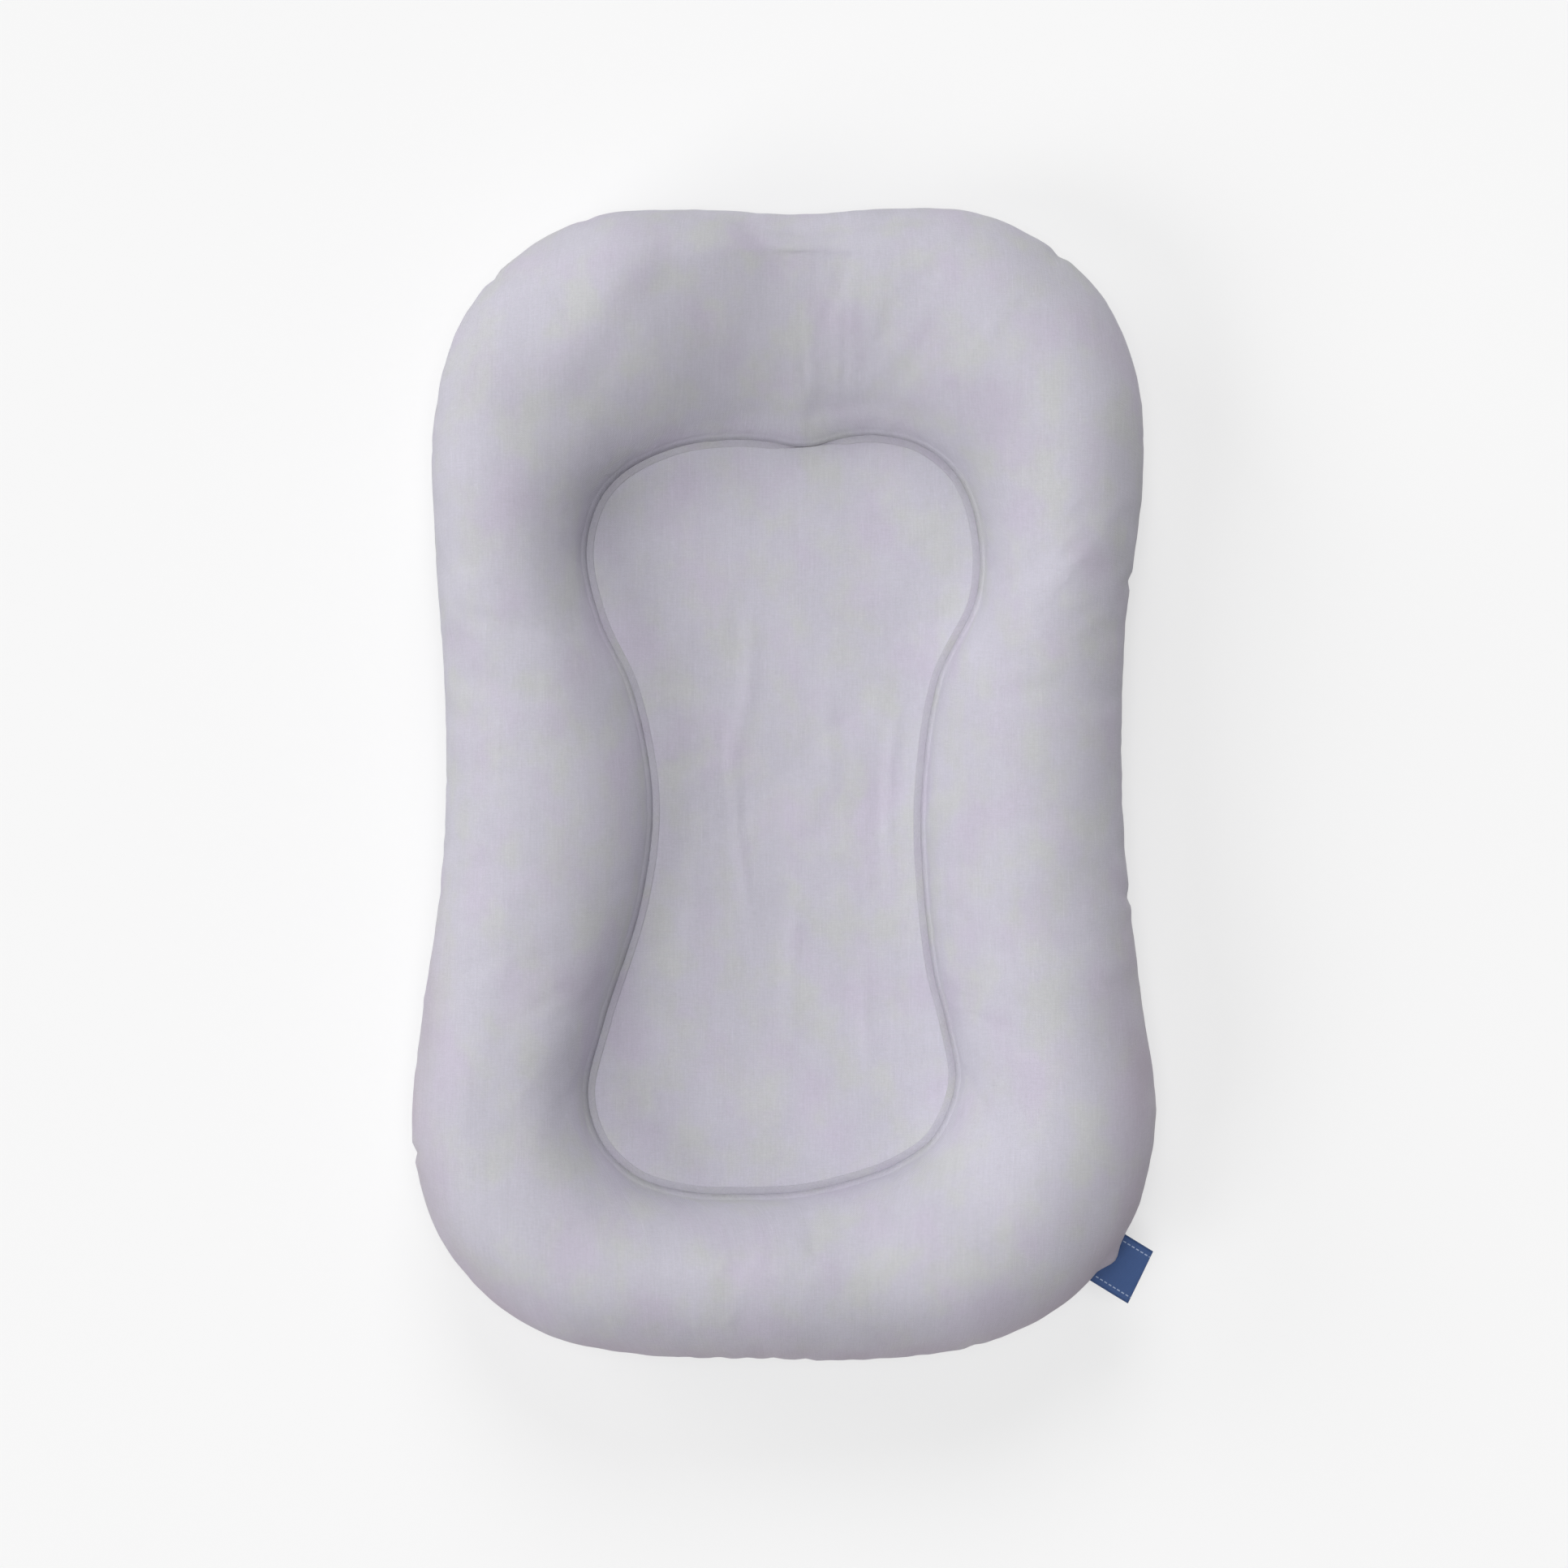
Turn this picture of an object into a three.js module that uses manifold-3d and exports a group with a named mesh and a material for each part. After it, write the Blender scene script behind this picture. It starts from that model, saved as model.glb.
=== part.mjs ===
// An infant lounger: a soft nest for a baby to lie in. A stuffed ring bolster stands round a thin, padded
// centre, and a cloth cover goes over both. It opens along a zip underneath, so that it can be washed.
//
// Millimetres, +Z up. The origin is on the floor under the middle, +Y points to the head end, and +X to the
// right of someone who looks down with the head end away from them.
import * as THREE from "three";
import { mergeVertices } from "three/addons/utils/BufferGeometryUtils.js";
import Module from "manifold-3d";

const wasm = await Module();
wasm.setup();

// Overall sizes
const LENGTH = 740;
const WIDTH = 478;
const CROWN_HEIGHT = 122; // floor to the top of the bolster where it is fullest
const EDGE_SEAM_HEIGHT = 56; // where the top and underside of the cover are sewn together
const CENTRE_SEAM_HEIGHT = 46; // where the bolster's cloth meets the centre panel
const CENTRE_SAG = 12; // how far the middle of the centre panel lies below its seam
const UNDER_RISE = 10; // the underside is drawn up off the floor inside the bolster

// Cloth
const COVER_CLOTH = 1.2;
const LINER_CLOTH = 0.8;
const PLY_GAP = 0.3; // between one layer and the next
const PIPING_WIDTH = 4.2;
const PIPING_CLOTH = 0.7;
const PIPING_MOUTH = THREE.MathUtils.degToRad(60); // how much of the strip stays open, below the cord
const PIPING_JOIN_SHARE = 0.071; // place of the join at the head end, as a share of half the width
const INSERT_CREASE = 3; // the insert is drawn down this much further than the cover at the centre seam

// Zip: two tapes, each with a row of teeth, lie on the inside of the underside's two halves
const TAPE_WIDTH = 14;
const TAPE_THICKNESS = 0.8;
const TAPE_TAIL = 10; // tape past each end of the window
const TEETH_WIDTH = 2.6;
const TEETH_THICKNESS = 2.4;
const TEETH_SLIT = 1.6; // between the two rows, for the slider's post
const ZIP_END_MARGIN = 24; // from the centre seam to the last tooth
const STOP_LENGTH = 4;
const STOP_PROUD = 1; // how far a stop stands out past the teeth

// Zip slider and its pull
const SLIDER_LENGTH = 12;
const SLIDER_PLATE = 1.4;
const SLIDER_WALL = 1;
const SLIDER_SHOULDER = 0.5; // how far the front is wider than the rear, on each side
const SLIDER_WALL_LENGTH = 5.6;
const SLIDER_NOSE = 1.2; // from the post to the front, and from the walls to the rear
const SLIDE_CLEARANCE = 0.4;
const POST_WIDTH = 0.8;
const POST_LENGTH = 3;
const BRIDGE_LENGTH = 9;
const BRIDGE_WIDTH = 2;
const BRIDGE_BAR = 1.2;
const BRIDGE_OPENING = 2; // between the bridge's bar and the slider's plate
const PULL_LENGTH = 30;
const PULL_WIDTH = 7.4;
const PULL_THICKNESS = 1.1;
const PULL_RIM = 1.2; // metal round the pull's eye
const PULL_GRIP_HOLE = 3;

// Woven tag in the edge seam
const TAG_WIDTH = 37;
const TAG_REACH = 26; // from the edge seam to the fold
const TAG_TAIL = 10; // length behind the edge seam before it is trimmed to the cloth
const TAG_PLY = 0.5;
const TAG_FOLD_GAP = 0.4;
const TAG_ANGLE = THREE.MathUtils.degToRad(-31.5); // the way it points, from +X

// How finely the cloth is faceted
const RING_POINTS = 56;
const CUT_OVERRUN = 20;

// The plan of the two seams, as shares of half the width and half the length. Each point of the edge seam
// faces the point of the centre seam on its row. They start at the right waist and pass the head end first.
// crown is how high the bolster stands there, as a share of its greatest height.
const SEAM_PLAN_SHARES = [
  { edge: [0.908, 0.023], centre: [0.362, -0.02], crown: 0.85 },
  { edge: [0.919, 0.276], centre: [0.406, 0.178], crown: 0.85 },
  { edge: [0.965, 0.523], centre: [0.511, 0.326], crown: 0.86 },
  { edge: [0.952, 0.693], centre: [0.515, 0.432], crown: 0.88 },
  { edge: [0.865, 0.834], centre: [0.472, 0.52], crown: 0.88 },
  { edge: [0.707, 0.931], centre: [0.38, 0.577], crown: 0.86 },
  { edge: [0.522, 0.987], centre: [0.26, 0.599], crown: 0.83 },
  { edge: [0.314, 0.996], centre: [0.151, 0.595], crown: 0.82 },
  { edge: [0.031, 0.986], centre: [0.052, 0.585], crown: 0.86 },
  { edge: [-0.253, 0.993], centre: [-0.133, 0.592], crown: 0.94 },
  { edge: [-0.504, 0.979], centre: [-0.297, 0.577], crown: 1 },
  { edge: [-0.712, 0.914], centre: [-0.439, 0.53], crown: 0.98 },
  { edge: [-0.875, 0.79], centre: [-0.5, 0.478], crown: 0.91 },
  { edge: [-0.943, 0.62], centre: [-0.526, 0.4], crown: 0.87 },
  { edge: [-0.938, 0.4], centre: [-0.491, 0.29], crown: 0.87 },
  { edge: [-0.914, 0.17], centre: [-0.4, 0.16], crown: 0.88 },
  { edge: [-0.91, -0.034], centre: [-0.347, -0.034], crown: 0.89 },
  { edge: [-0.928, -0.203], centre: [-0.378, -0.21], crown: 0.89 },
  { edge: [-0.976, -0.415], centre: [-0.478, -0.417], crown: 0.9 },
  { edge: [-1, -0.605], centre: [-0.522, -0.542], crown: 0.91 },
  { edge: [-0.945, -0.76], centre: [-0.489, -0.619], crown: 0.93 },
  { edge: [-0.817, -0.877], centre: [-0.395, -0.68], crown: 0.95 },
  { edge: [-0.635, -0.955], centre: [-0.253, -0.707], crown: 0.96 },
  { edge: [-0.384, -0.99], centre: [-0.111, -0.711], crown: 0.96 },
  { edge: [-0.079, -0.996], centre: [0.031, -0.707], crown: 0.96 },
  { edge: [0.238, -0.999], centre: [0.172, -0.688], crown: 0.96 },
  { edge: [0.544, -0.969], centre: [0.303, -0.657], crown: 0.97 },
  { edge: [0.773, -0.891], centre: [0.402, -0.608], crown: 0.96 },
  { edge: [0.937, -0.757], centre: [0.454, -0.52], crown: 0.94 },
  { edge: [1, -0.577], centre: [0.43, -0.42], crown: 0.91 },
  { edge: [0.963, -0.379], centre: [0.395, -0.33], crown: 0.88 },
  { edge: [0.924, -0.168], centre: [0.367, -0.175], crown: 0.86 },
];
const TAG_PLAN_SHARE = 0.859; // where the tag is, as a share of the way round the edge seam

// The bolster's section, as shares of its width from the edge seam (0) to the centre seam (1)
const CROWN_SHARE = 0.45;
const FLOOR_START_SHARE = 0.36;
const FLOOR_END_SHARE = 0.8;
const FULLNESS_SHARE = 0.8; // how much of the inner slope is round rather than flared
const SPINE_SHARE = 0.55; // the centre panel closes towards a line this share of its length

// Where the rings of facets lie. On top, 0 is the edge seam, 1 the crown and 2 the cloth's end at the piping.
// Underneath, 0 is the edge seam, 1 where the bolster meets the floor, 2 where it leaves it and 3 the line
// of the centre seam. Inwards, 0 is the centre seam and 1 the middle.
const CURVED_TURNS = [0, 0.25, 0.5, 0.75, 1];
const COARSE_TURNS = [0, 0.5, 1];
const INNER_TURNS = [1.35, 1.7, 1.9, 2];
const UNDER_TURNS = [2, 2.5, 3];
const INWARD_STEPS = [0.35, 0.7];

// A closed loop through points of the plan
function loopThrough(name) {
  const points = SEAM_PLAN_SHARES.map((row) => new THREE.Vector3(row[name][0], row[name][1], 0));
  return new THREE.CatmullRomCurve3(points, true, "centripetal");
}

const PLAN = { edge: loopThrough("edge"), centre: loopThrough("centre") };
const CROWN_LOOP = new THREE.CatmullRomCurve3(
  SEAM_PLAN_SHARES.map((row) => new THREE.Vector3(row.crown, 0, 0)),
  true,
  "catmullrom",
);
const AROUND = Array.from({ length: RING_POINTS }, (_, i) => i / RING_POINTS);
const PLAN_BOX = new THREE.Box3().setFromPoints(AROUND.map((u) => PLAN.edge.getPoint(u)));
const PLAN_SIZE = PLAN_BOX.getSize(new THREE.Vector3());
const PLAN_MIDDLE = PLAN_BOX.getCenter(new THREE.Vector3());

// A point of a seam in millimetres, at height 0. The edge seam's facets span WIDTH and LENGTH exactly.
function seamPoint(name, u) {
  const share = PLAN[name].getPoint(THREE.MathUtils.euclideanModulo(u, 1)).sub(PLAN_MIDDLE);
  return new THREE.Vector3((share.x / PLAN_SIZE.x) * WIDTH, (share.y / PLAN_SIZE.y) * LENGTH, 0);
}

// The bolster is fullest in its lobes, and stands lower at the middle of the head end
const crownHeight = (u) => CROWN_HEIGHT * CROWN_LOOP.getPoint(THREE.MathUtils.euclideanModulo(u, 1)).x;

// The share of the bolster's width where the cover's cloth ends, beside the piping
function clearShare(u) {
  const across = seamPoint("edge", u).sub(seamPoint("centre", u));
  return 1 - (PIPING_WIDTH / 2 + PLY_GAP) / across.dot(seamNormal(u));
}

// A point over or under the bolster, a share of the way from the edge seam to the centre seam
function acrossBolster(u, share, height) {
  return seamPoint("edge", u).lerp(seamPoint("centre", u), share).setZ(height);
}

function bolsterTop(u, turn) {
  const crown = crownHeight(u);
  if (turn <= 1) {
    const angle = (turn * Math.PI) / 2;
    const low = EDGE_SEAM_HEIGHT + PLY_GAP / 2;
    return acrossBolster(u, CROWN_SHARE * (1 - Math.cos(angle)), low + (crown - low) * Math.sin(angle));
  }
  const down = Math.min(turn - 1, 1);
  const round = Math.sqrt(1 - down ** 2);
  const flared = (1 + Math.cos(down * Math.PI)) / 2;
  const fall = THREE.MathUtils.lerp(flared, round, FULLNESS_SHARE);
  const height = CENTRE_SEAM_HEIGHT + (crown - CENTRE_SEAM_HEIGHT) * fall;
  return acrossBolster(u, THREE.MathUtils.lerp(CROWN_SHARE, clearShare(u), down), height);
}

// rise is how far the underside is drawn up off the floor inside the bolster
function bolsterUnder(u, turn, rise) {
  if (turn <= 1) {
    const angle = (turn * Math.PI) / 2;
    const high = EDGE_SEAM_HEIGHT - PLY_GAP / 2;
    return acrossBolster(u, FLOOR_START_SHARE * (1 - Math.cos(angle)), high * (1 - Math.sin(angle)));
  }
  const { lerp, smoothstep } = THREE.MathUtils;
  if (turn <= 2) return acrossBolster(u, lerp(FLOOR_START_SHARE, FLOOR_END_SHARE, turn - 1), 0);
  return acrossBolster(u, lerp(FLOOR_END_SHARE, 1, turn - 2), rise * smoothstep(turn, 2, 3));
}

// Moves a point of a surface inwards by depth. side is 1 on top and -1 underneath.
function sunk(surface, u, turn, depth, side) {
  const step = 1e-3;
  const round = surface(u + step, turn).sub(surface(u - step, turn));
  const inward = surface(u, turn + step).sub(surface(u, turn - step));
  const normal = round.cross(inward).normalize();
  return surface(u, turn).addScaledVector(normal, -side * depth);
}

const ring = (place) => AROUND.map(place);
const topRing = (turn, depth) => ring((u) => sunk(bolsterTop, u, turn, depth, 1));

// The underside's rings past the floor are level sheets, so their depth is a plain height
function underRing(turn, depth, rise) {
  if (turn <= 1) return ring((u) => sunk((v, t) => bolsterUnder(v, t, rise), u, turn, depth, -1));
  return ring((u) => bolsterUnder(u, turn, rise).add(new THREE.Vector3(0, 0, depth)));
}

const centreSeamRing = (depth) => ring((u) => seamPoint("centre", u).setZ(CENTRE_SEAM_HEIGHT - depth));
const insertSeamRing = (depth) => centreSeamRing(depth + INSERT_CREASE);

// The way across the centre seam at u, in plan, towards the bolster
function seamNormal(u) {
  const step = 1e-3;
  const along = seamPoint("centre", u + step).sub(seamPoint("centre", u - step));
  return new THREE.Vector3(along.y, -along.x, 0).normalize();
}

const spinePoint = (u) => new THREE.Vector3(0, seamPoint("centre", u).y * SPINE_SHARE, 0);
const sagAt = (inward) => CENTRE_SAG * inward * (2 - inward);

// A ring of the centre, from its seam (0) towards the middle (1), at a height
function inwardRing(inward, height) {
  return ring((u) => seamPoint("centre", u).lerp(spinePoint(u), inward).setZ(height));
}

const centreTopRing = (inward, depth) => inwardRing(inward, CENTRE_SEAM_HEIGHT - sagAt(inward) - depth);
const centreTopPole = (depth) => new THREE.Vector3(0, 0, CENTRE_SEAM_HEIGHT - CENTRE_SAG - depth);

const girth = (points) => points.reduce((sum, p) => sum + Math.hypot(p.x, p.y), 0);

// A closed solid through rings of points, each joined to the next. With poles it closes at a point at
// each end, and without them its last ring joins its first. Rings run counter-clockwise seen from above,
// outwards underneath and inwards on top. Every layer splits its facets the same way, so that thin layers
// don't cross.
function solidThrough(rings, poles) {
  const positions = rings.flat().flatMap((p) => p.toArray());
  const index = [];
  const at = (r, i) => (r % rings.length) * RING_POINTS + (i % RING_POINTS);
  const bands = poles ? rings.length - 1 : rings.length;
  for (let r = 0; r < bands; r++) {
    const narrows = girth(rings[(r + 1) % rings.length]) < girth(rings[r]);
    for (let i = 0; i < RING_POINTS; i++) {
      const [a, b, c, d] = [at(r, i), at(r, i + 1), at(r + 1, i + 1), at(r + 1, i)];
      if (narrows) index.push(a, b, c, a, c, d);
      else index.push(a, b, d, b, c, d);
    }
  }
  if (poles) {
    const first = rings.length * RING_POINTS;
    positions.push(...poles[0].toArray(), ...poles[1].toArray());
    for (let i = 0; i < RING_POINTS; i++) {
      index.push(first, at(0, i + 1), at(0, i));
      index.push(first + 1, at(rings.length - 1, i), at(rings.length - 1, i + 1));
    }
  }
  const geometry = new THREE.BufferGeometry();
  geometry.setAttribute("position", new THREE.Float32BufferAttribute(positions, 3));
  geometry.setIndex(index);
  return geometry;
}

// Turns a geometry into a solid that can be joined and cut, and back
function solidOf(geometry) {
  const bare = geometry.clone();
  bare.deleteAttribute("normal");
  bare.deleteAttribute("uv");
  const merged = mergeVertices(bare);
  return new wasm.Manifold(
    new wasm.Mesh({
      numProp: 3,
      vertProperties: merged.attributes.position.array,
      triVerts: new Uint32Array(merged.index.array),
    }),
  );
}

function geometryOf(solid) {
  const mesh = solid.getMesh();
  const geometry = new THREE.BufferGeometry();
  geometry.setAttribute("position", new THREE.BufferAttribute(new Float32Array(mesh.vertProperties), 3));
  geometry.setIndex(new THREE.BufferAttribute(new Uint32Array(mesh.triVerts), 1));
  return geometry;
}

const joined = (...geometries) => geometryOf(geometries.map(solidOf).reduce((a, b) => a.add(b)));

// A block between two corners
function block(low, high) {
  const size = new THREE.Vector3(...high).sub(new THREE.Vector3(...low));
  const middle = new THREE.Vector3(...low).addScaledVector(size, 1 / 2);
  return new THREE.BoxGeometry(size.x, size.y, size.z).translate(middle.x, middle.y, middle.z);
}

const lilac = { color: 0xc9c7d3, roughness: 0.9, metalness: 0 };
const cloth = (settings = {}) => new THREE.MeshStandardMaterial({ ...lilac, ...settings });
const metal = new THREE.MeshStandardMaterial({ color: 0xb9b7c2, roughness: 0.35, metalness: 0.9 });
const nylon = new THREE.MeshStandardMaterial({ color: 0xb5b3bf, roughness: 0.55, metalness: 0 });

const lounger = new THREE.Group();

function add(name, geometry, material) {
  const mesh = new THREE.Mesh(geometry, material);
  mesh.name = name;
  lounger.add(mesh);
  return mesh;
}

// Depths of the layers under the cover's outer face
const LINER_DEPTH = COVER_CLOTH + PLY_GAP;
const FILL_DEPTH = LINER_DEPTH + LINER_CLOTH + PLY_GAP;

// Heights of the zip's layers, worked up and down from the underside's cloth
const TAPE_LOW = UNDER_RISE + COVER_CLOTH + PLY_GAP;
const TAPE_HIGH = TAPE_LOW + TAPE_THICKNESS;
const TEETH_HIGH = TAPE_LOW - PLY_GAP;
const TEETH_LOW = TEETH_HIGH - TEETH_THICKNESS;
const OUTER_PLATE_HIGH = TEETH_LOW - SLIDE_CLEARANCE;
const OUTER_PLATE_LOW = OUTER_PLATE_HIGH - SLIDER_PLATE;
const INNER_PLATE_LOW = TAPE_HIGH + SLIDE_CLEARANCE;
const INNER_PLATE_HIGH = INNER_PLATE_LOW + SLIDER_PLATE;
const LINER_LOW = INNER_PLATE_HIGH + SLIDE_CLEARANCE; // the insert's underside clears the slider
const LINER_RISE = LINER_LOW - LINER_DEPTH;

// Places across and along the zip
const TEETH_IN = TEETH_SLIT / 2;
const TEETH_OUT = TEETH_IN + TEETH_WIDTH;
const SLIDER_IN = TEETH_OUT + SLIDE_CLEARANCE;
const SLIDER_REAR_HALF = SLIDER_IN + SLIDER_WALL;
const SLIDER_FRONT_HALF = SLIDER_REAR_HALF + SLIDER_SHOULDER;
const WINDOW_HALF = SLIDER_FRONT_HALF + 2 * SLIDE_CLEARANCE;
const CENTRE_BOX = new THREE.Box3().setFromPoints(centreSeamRing(0));
const ZIP_HEAD = CENTRE_BOX.max.y - ZIP_END_MARGIN;
const ZIP_FOOT = CENTRE_BOX.min.y + ZIP_END_MARGIN;
const WINDOW_HEAD = ZIP_HEAD + STOP_LENGTH + PLY_GAP + SLIDE_CLEARANCE;
const WINDOW_FOOT = ZIP_FOOT - STOP_LENGTH - PLY_GAP - SLIDE_CLEARANCE;
const SLIDER_HEAD = ZIP_HEAD - SLIDE_CLEARANCE; // the front of the slider when the zip is closed
const SLIDER_MIDDLE = SLIDER_HEAD - SLIDER_LENGTH / 2;

// Woven tag: a strip folded in two. Its own frame has the edge seam at 0 and points along +X.
const TAG_THICKNESS = 2 * TAG_PLY + TAG_FOLD_GAP;

function placeAtTag(geometry) {
  const seam = seamPoint("edge", TAG_PLAN_SHARE);
  return geometry.rotateZ(TAG_ANGLE).translate(seam.x, seam.y, EDGE_SEAM_HEIGHT);
}

function foldedStrip() {
  const half = TAG_THICKNESS / 2;
  const bend = TAG_REACH - half;
  const outline = new THREE.Shape();
  outline.moveTo(-TAG_TAIL, -half);
  outline.lineTo(bend, -half);
  outline.absarc(bend, 0, half, -Math.PI / 2, Math.PI / 2, false);
  outline.lineTo(-TAG_TAIL, half);
  outline.lineTo(-TAG_TAIL, half - TAG_PLY);
  outline.lineTo(bend, half - TAG_PLY);
  outline.absarc(bend, 0, half - TAG_PLY, Math.PI / 2, -Math.PI / 2, true);
  outline.lineTo(-TAG_TAIL, TAG_PLY - half);
  const settings = { depth: TAG_WIDTH, bevelEnabled: false, curveSegments: 4 };
  const strip = new THREE.ExtrudeGeometry(outline, settings);
  return placeAtTag(strip.rotateX(Math.PI / 2).translate(0, TAG_WIDTH / 2, 0));
}

// The slot that the tag leaves in the edges of the cover
function tagSlot() {
  const across = TAG_WIDTH / 2 + PLY_GAP;
  const up = TAG_THICKNESS / 2 + PLY_GAP;
  return placeAtTag(block([-TAG_TAIL - PLY_GAP, -across, -up], [TAG_REACH, across, up]));
}

// Everything inside the cover's cloth, to trim the tag against
function insideOfCover() {
  const under = [1, 0.5].map((turn) => underRing(turn, COVER_CLOTH, UNDER_RISE));
  const over = COARSE_TURNS.map((turn) => topRing(turn, COVER_CLOTH));
  const poles = [new THREE.Vector3(0, 0, COVER_CLOTH), new THREE.Vector3(0, 0, EDGE_SEAM_HEIGHT)];
  return solidThrough([...under, ...over], poles);
}

// The cover's cloth over the bolster, from the edge seam to the piping
function coverTopBolster() {
  const turns = [...CURVED_TURNS, ...INNER_TURNS];
  const layer = (depth) => turns.map((turn) => topRing(turn, depth));
  const cover = solidThrough([...layer(0), ...layer(COVER_CLOTH).reverse()]);
  return geometryOf(solidOf(cover).subtract(solidOf(tagSlot())));
}

// The panel that the baby lies on, inside the piping
function coverCentrePanel() {
  const edgeRing = (depth) => {
    const clear = PIPING_WIDTH / 2 + PLY_GAP;
    return ring((u) =>
      seamPoint("centre", u).addScaledVector(seamNormal(u), -clear).setZ(CENTRE_SEAM_HEIGHT - depth),
    );
  };
  const layer = (depth) => [edgeRing(depth), ...INWARD_STEPS.map((inward) => centreTopRing(inward, depth))];
  const poles = [centreTopPole(COVER_CLOTH), centreTopPole(0)];
  return solidThrough([...layer(COVER_CLOTH).reverse(), ...layer(0)], poles);
}

// Rings of a bead that runs along the centre seam, one for each angle round it
function beadRings(radius, angles) {
  return angles.map((angle) =>
    ring((u) =>
      seamPoint("centre", u)
        .addScaledVector(seamNormal(u), Math.cos(angle) * radius)
        .setZ(CENTRE_SEAM_HEIGHT + Math.sin(angle) * radius),
    ),
  );
}

// A strip of cloth goes round a cord, and its ends meet at the head end
function pipingWrap() {
  const facets = 5;
  const start = PIPING_MOUTH / 2 - Math.PI / 2;
  const sweep = 2 * Math.PI - PIPING_MOUTH;
  const angles = Array.from({ length: facets + 1 }, (_, k) => start + (k / facets) * sweep);
  const outer = beadRings(PIPING_WIDTH / 2, angles);
  const inner = beadRings(PIPING_WIDTH / 2 - PIPING_CLOTH, angles).reverse();
  return geometryOf(solidOf(solidThrough([...outer, ...inner])).subtract(solidOf(pipingJoin())));
}

function pipingCord() {
  const facets = 6;
  const angles = Array.from({ length: facets }, (_, k) => (k / facets) * 2 * Math.PI);
  const cord = beadRings(PIPING_WIDTH / 2 - PIPING_CLOTH - PLY_GAP, angles);
  return geometryOf(solidOf(solidThrough(cord)).subtract(solidOf(pipingJoin())));
}

function pipingJoin() {
  const middle = (PIPING_JOIN_SHARE * WIDTH) / 2;
  const low = CENTRE_SEAM_HEIGHT - PIPING_WIDTH;
  const high = [middle + PLY_GAP / 2, LENGTH, low + 2 * PIPING_WIDTH];
  return block([middle - PLY_GAP / 2, 0, low], high);
}

// The underside of the cover, in one piece, with the window for the zip cut out and the two halves parted
function coverUndersideHalves() {
  const turns = [...CURVED_TURNS, ...UNDER_TURNS];
  const layer = (depth) => [
    ...turns.map((turn) => underRing(turn, depth, UNDER_RISE)),
    ...INWARD_STEPS.map((inward) => inwardRing(inward, UNDER_RISE + depth)),
  ];
  const poles = [0, COVER_CLOTH].map((depth) => new THREE.Vector3(0, 0, UNDER_RISE + depth));
  const whole = solidThrough([...layer(0).reverse(), ...layer(COVER_CLOTH)], poles);
  const top = EDGE_SEAM_HEIGHT + CUT_OVERRUN;
  const far = LENGTH / 2 + CUT_OVERRUN;
  const parting = block([-PLY_GAP / 2, -far, -CUT_OVERRUN], [PLY_GAP / 2, far, top]);
  const window = block([-WINDOW_HALF, WINDOW_FOOT, -CUT_OVERRUN], [WINDOW_HALF, WINDOW_HEAD, top]);
  const tools = [parting, window, tagSlot()].map(solidOf);
  const cut = tools.reduce((solid, tool) => solid.subtract(tool), solidOf(whole));
  const halves = cut.decompose().sort((a, b) => a.boundingBox().min[0] - b.boundingBox().min[0]);
  return halves.map(geometryOf);
}

// The insert: a lining sewn of two panels, stuffed round the rim, with a pad in the middle
function linerTop() {
  const turns = [...COARSE_TURNS, ...INNER_TURNS];
  const layer = (depth) => [
    ...turns.map((turn) => topRing(turn, depth)),
    insertSeamRing(depth),
    ...INWARD_STEPS.map((inward) => centreTopRing(inward, depth)),
  ];
  const depths = [LINER_DEPTH + LINER_CLOTH, LINER_DEPTH];
  return solidThrough([...layer(depths[0]).reverse(), ...layer(depths[1])], depths.map(centreTopPole));
}

function linerUnder() {
  const turns = [...COARSE_TURNS, ...UNDER_TURNS];
  const layer = (depth) => turns.map((turn) => underRing(turn, depth, LINER_RISE));
  const inner = LINER_DEPTH + LINER_CLOTH;
  const poles = [LINER_DEPTH, inner].map((depth) => new THREE.Vector3(0, 0, LINER_RISE + depth));
  return solidThrough([...layer(LINER_DEPTH).reverse(), ...layer(inner)], poles);
}

// The stuffing keeps to the bolster's side of the centre seam, and the pad to the other
function besideSeam(rings, away) {
  const shifts = AROUND.map((u) => seamNormal(u).multiplyScalar((away * PLY_GAP) / 2));
  return rings.map((points) => points.map((p, i) => p.clone().add(shifts[i])));
}

function bolsterFill() {
  const over = [...COARSE_TURNS, ...INNER_TURNS].map((turn) => topRing(turn, FILL_DEPTH));
  const under = [3, 2.5, 2, 1, 0.5].map((turn) => underRing(turn, FILL_DEPTH, LINER_RISE));
  const [wallHigh, wallLow] = besideSeam([insertSeamRing(FILL_DEPTH), under[0]], 1);
  return solidThrough([...over, wallHigh, wallLow, ...under.slice(1)]);
}

function centrePad() {
  const low = LINER_RISE + FILL_DEPTH;
  const [wallLow, wallHigh] = besideSeam([inwardRing(0, low), insertSeamRing(FILL_DEPTH)], -1);
  const over = INWARD_STEPS.map((inward) => centreTopRing(inward, FILL_DEPTH));
  const poles = [new THREE.Vector3(0, 0, low), centreTopPole(FILL_DEPTH)];
  return solidThrough([wallLow, wallHigh, ...over], poles);
}

// Zip: side is -1 on the left and 1 on the right
function mirrored(low, high, side) {
  return side > 0 ? block(low, high) : block([-high[0], low[1], low[2]], [-low[0], high[1], high[2]]);
}

function zipTape(side) {
  const foot = WINDOW_FOOT - TAPE_TAIL;
  const head = WINDOW_HEAD + TAPE_TAIL;
  return mirrored([TEETH_IN, foot, TAPE_LOW], [TEETH_IN + TAPE_WIDTH, head, TAPE_HIGH], side);
}

function zipTeeth(side) {
  return mirrored([TEETH_IN, ZIP_FOOT, TEETH_LOW], [TEETH_OUT, ZIP_HEAD, TEETH_HIGH], side);
}

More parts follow.
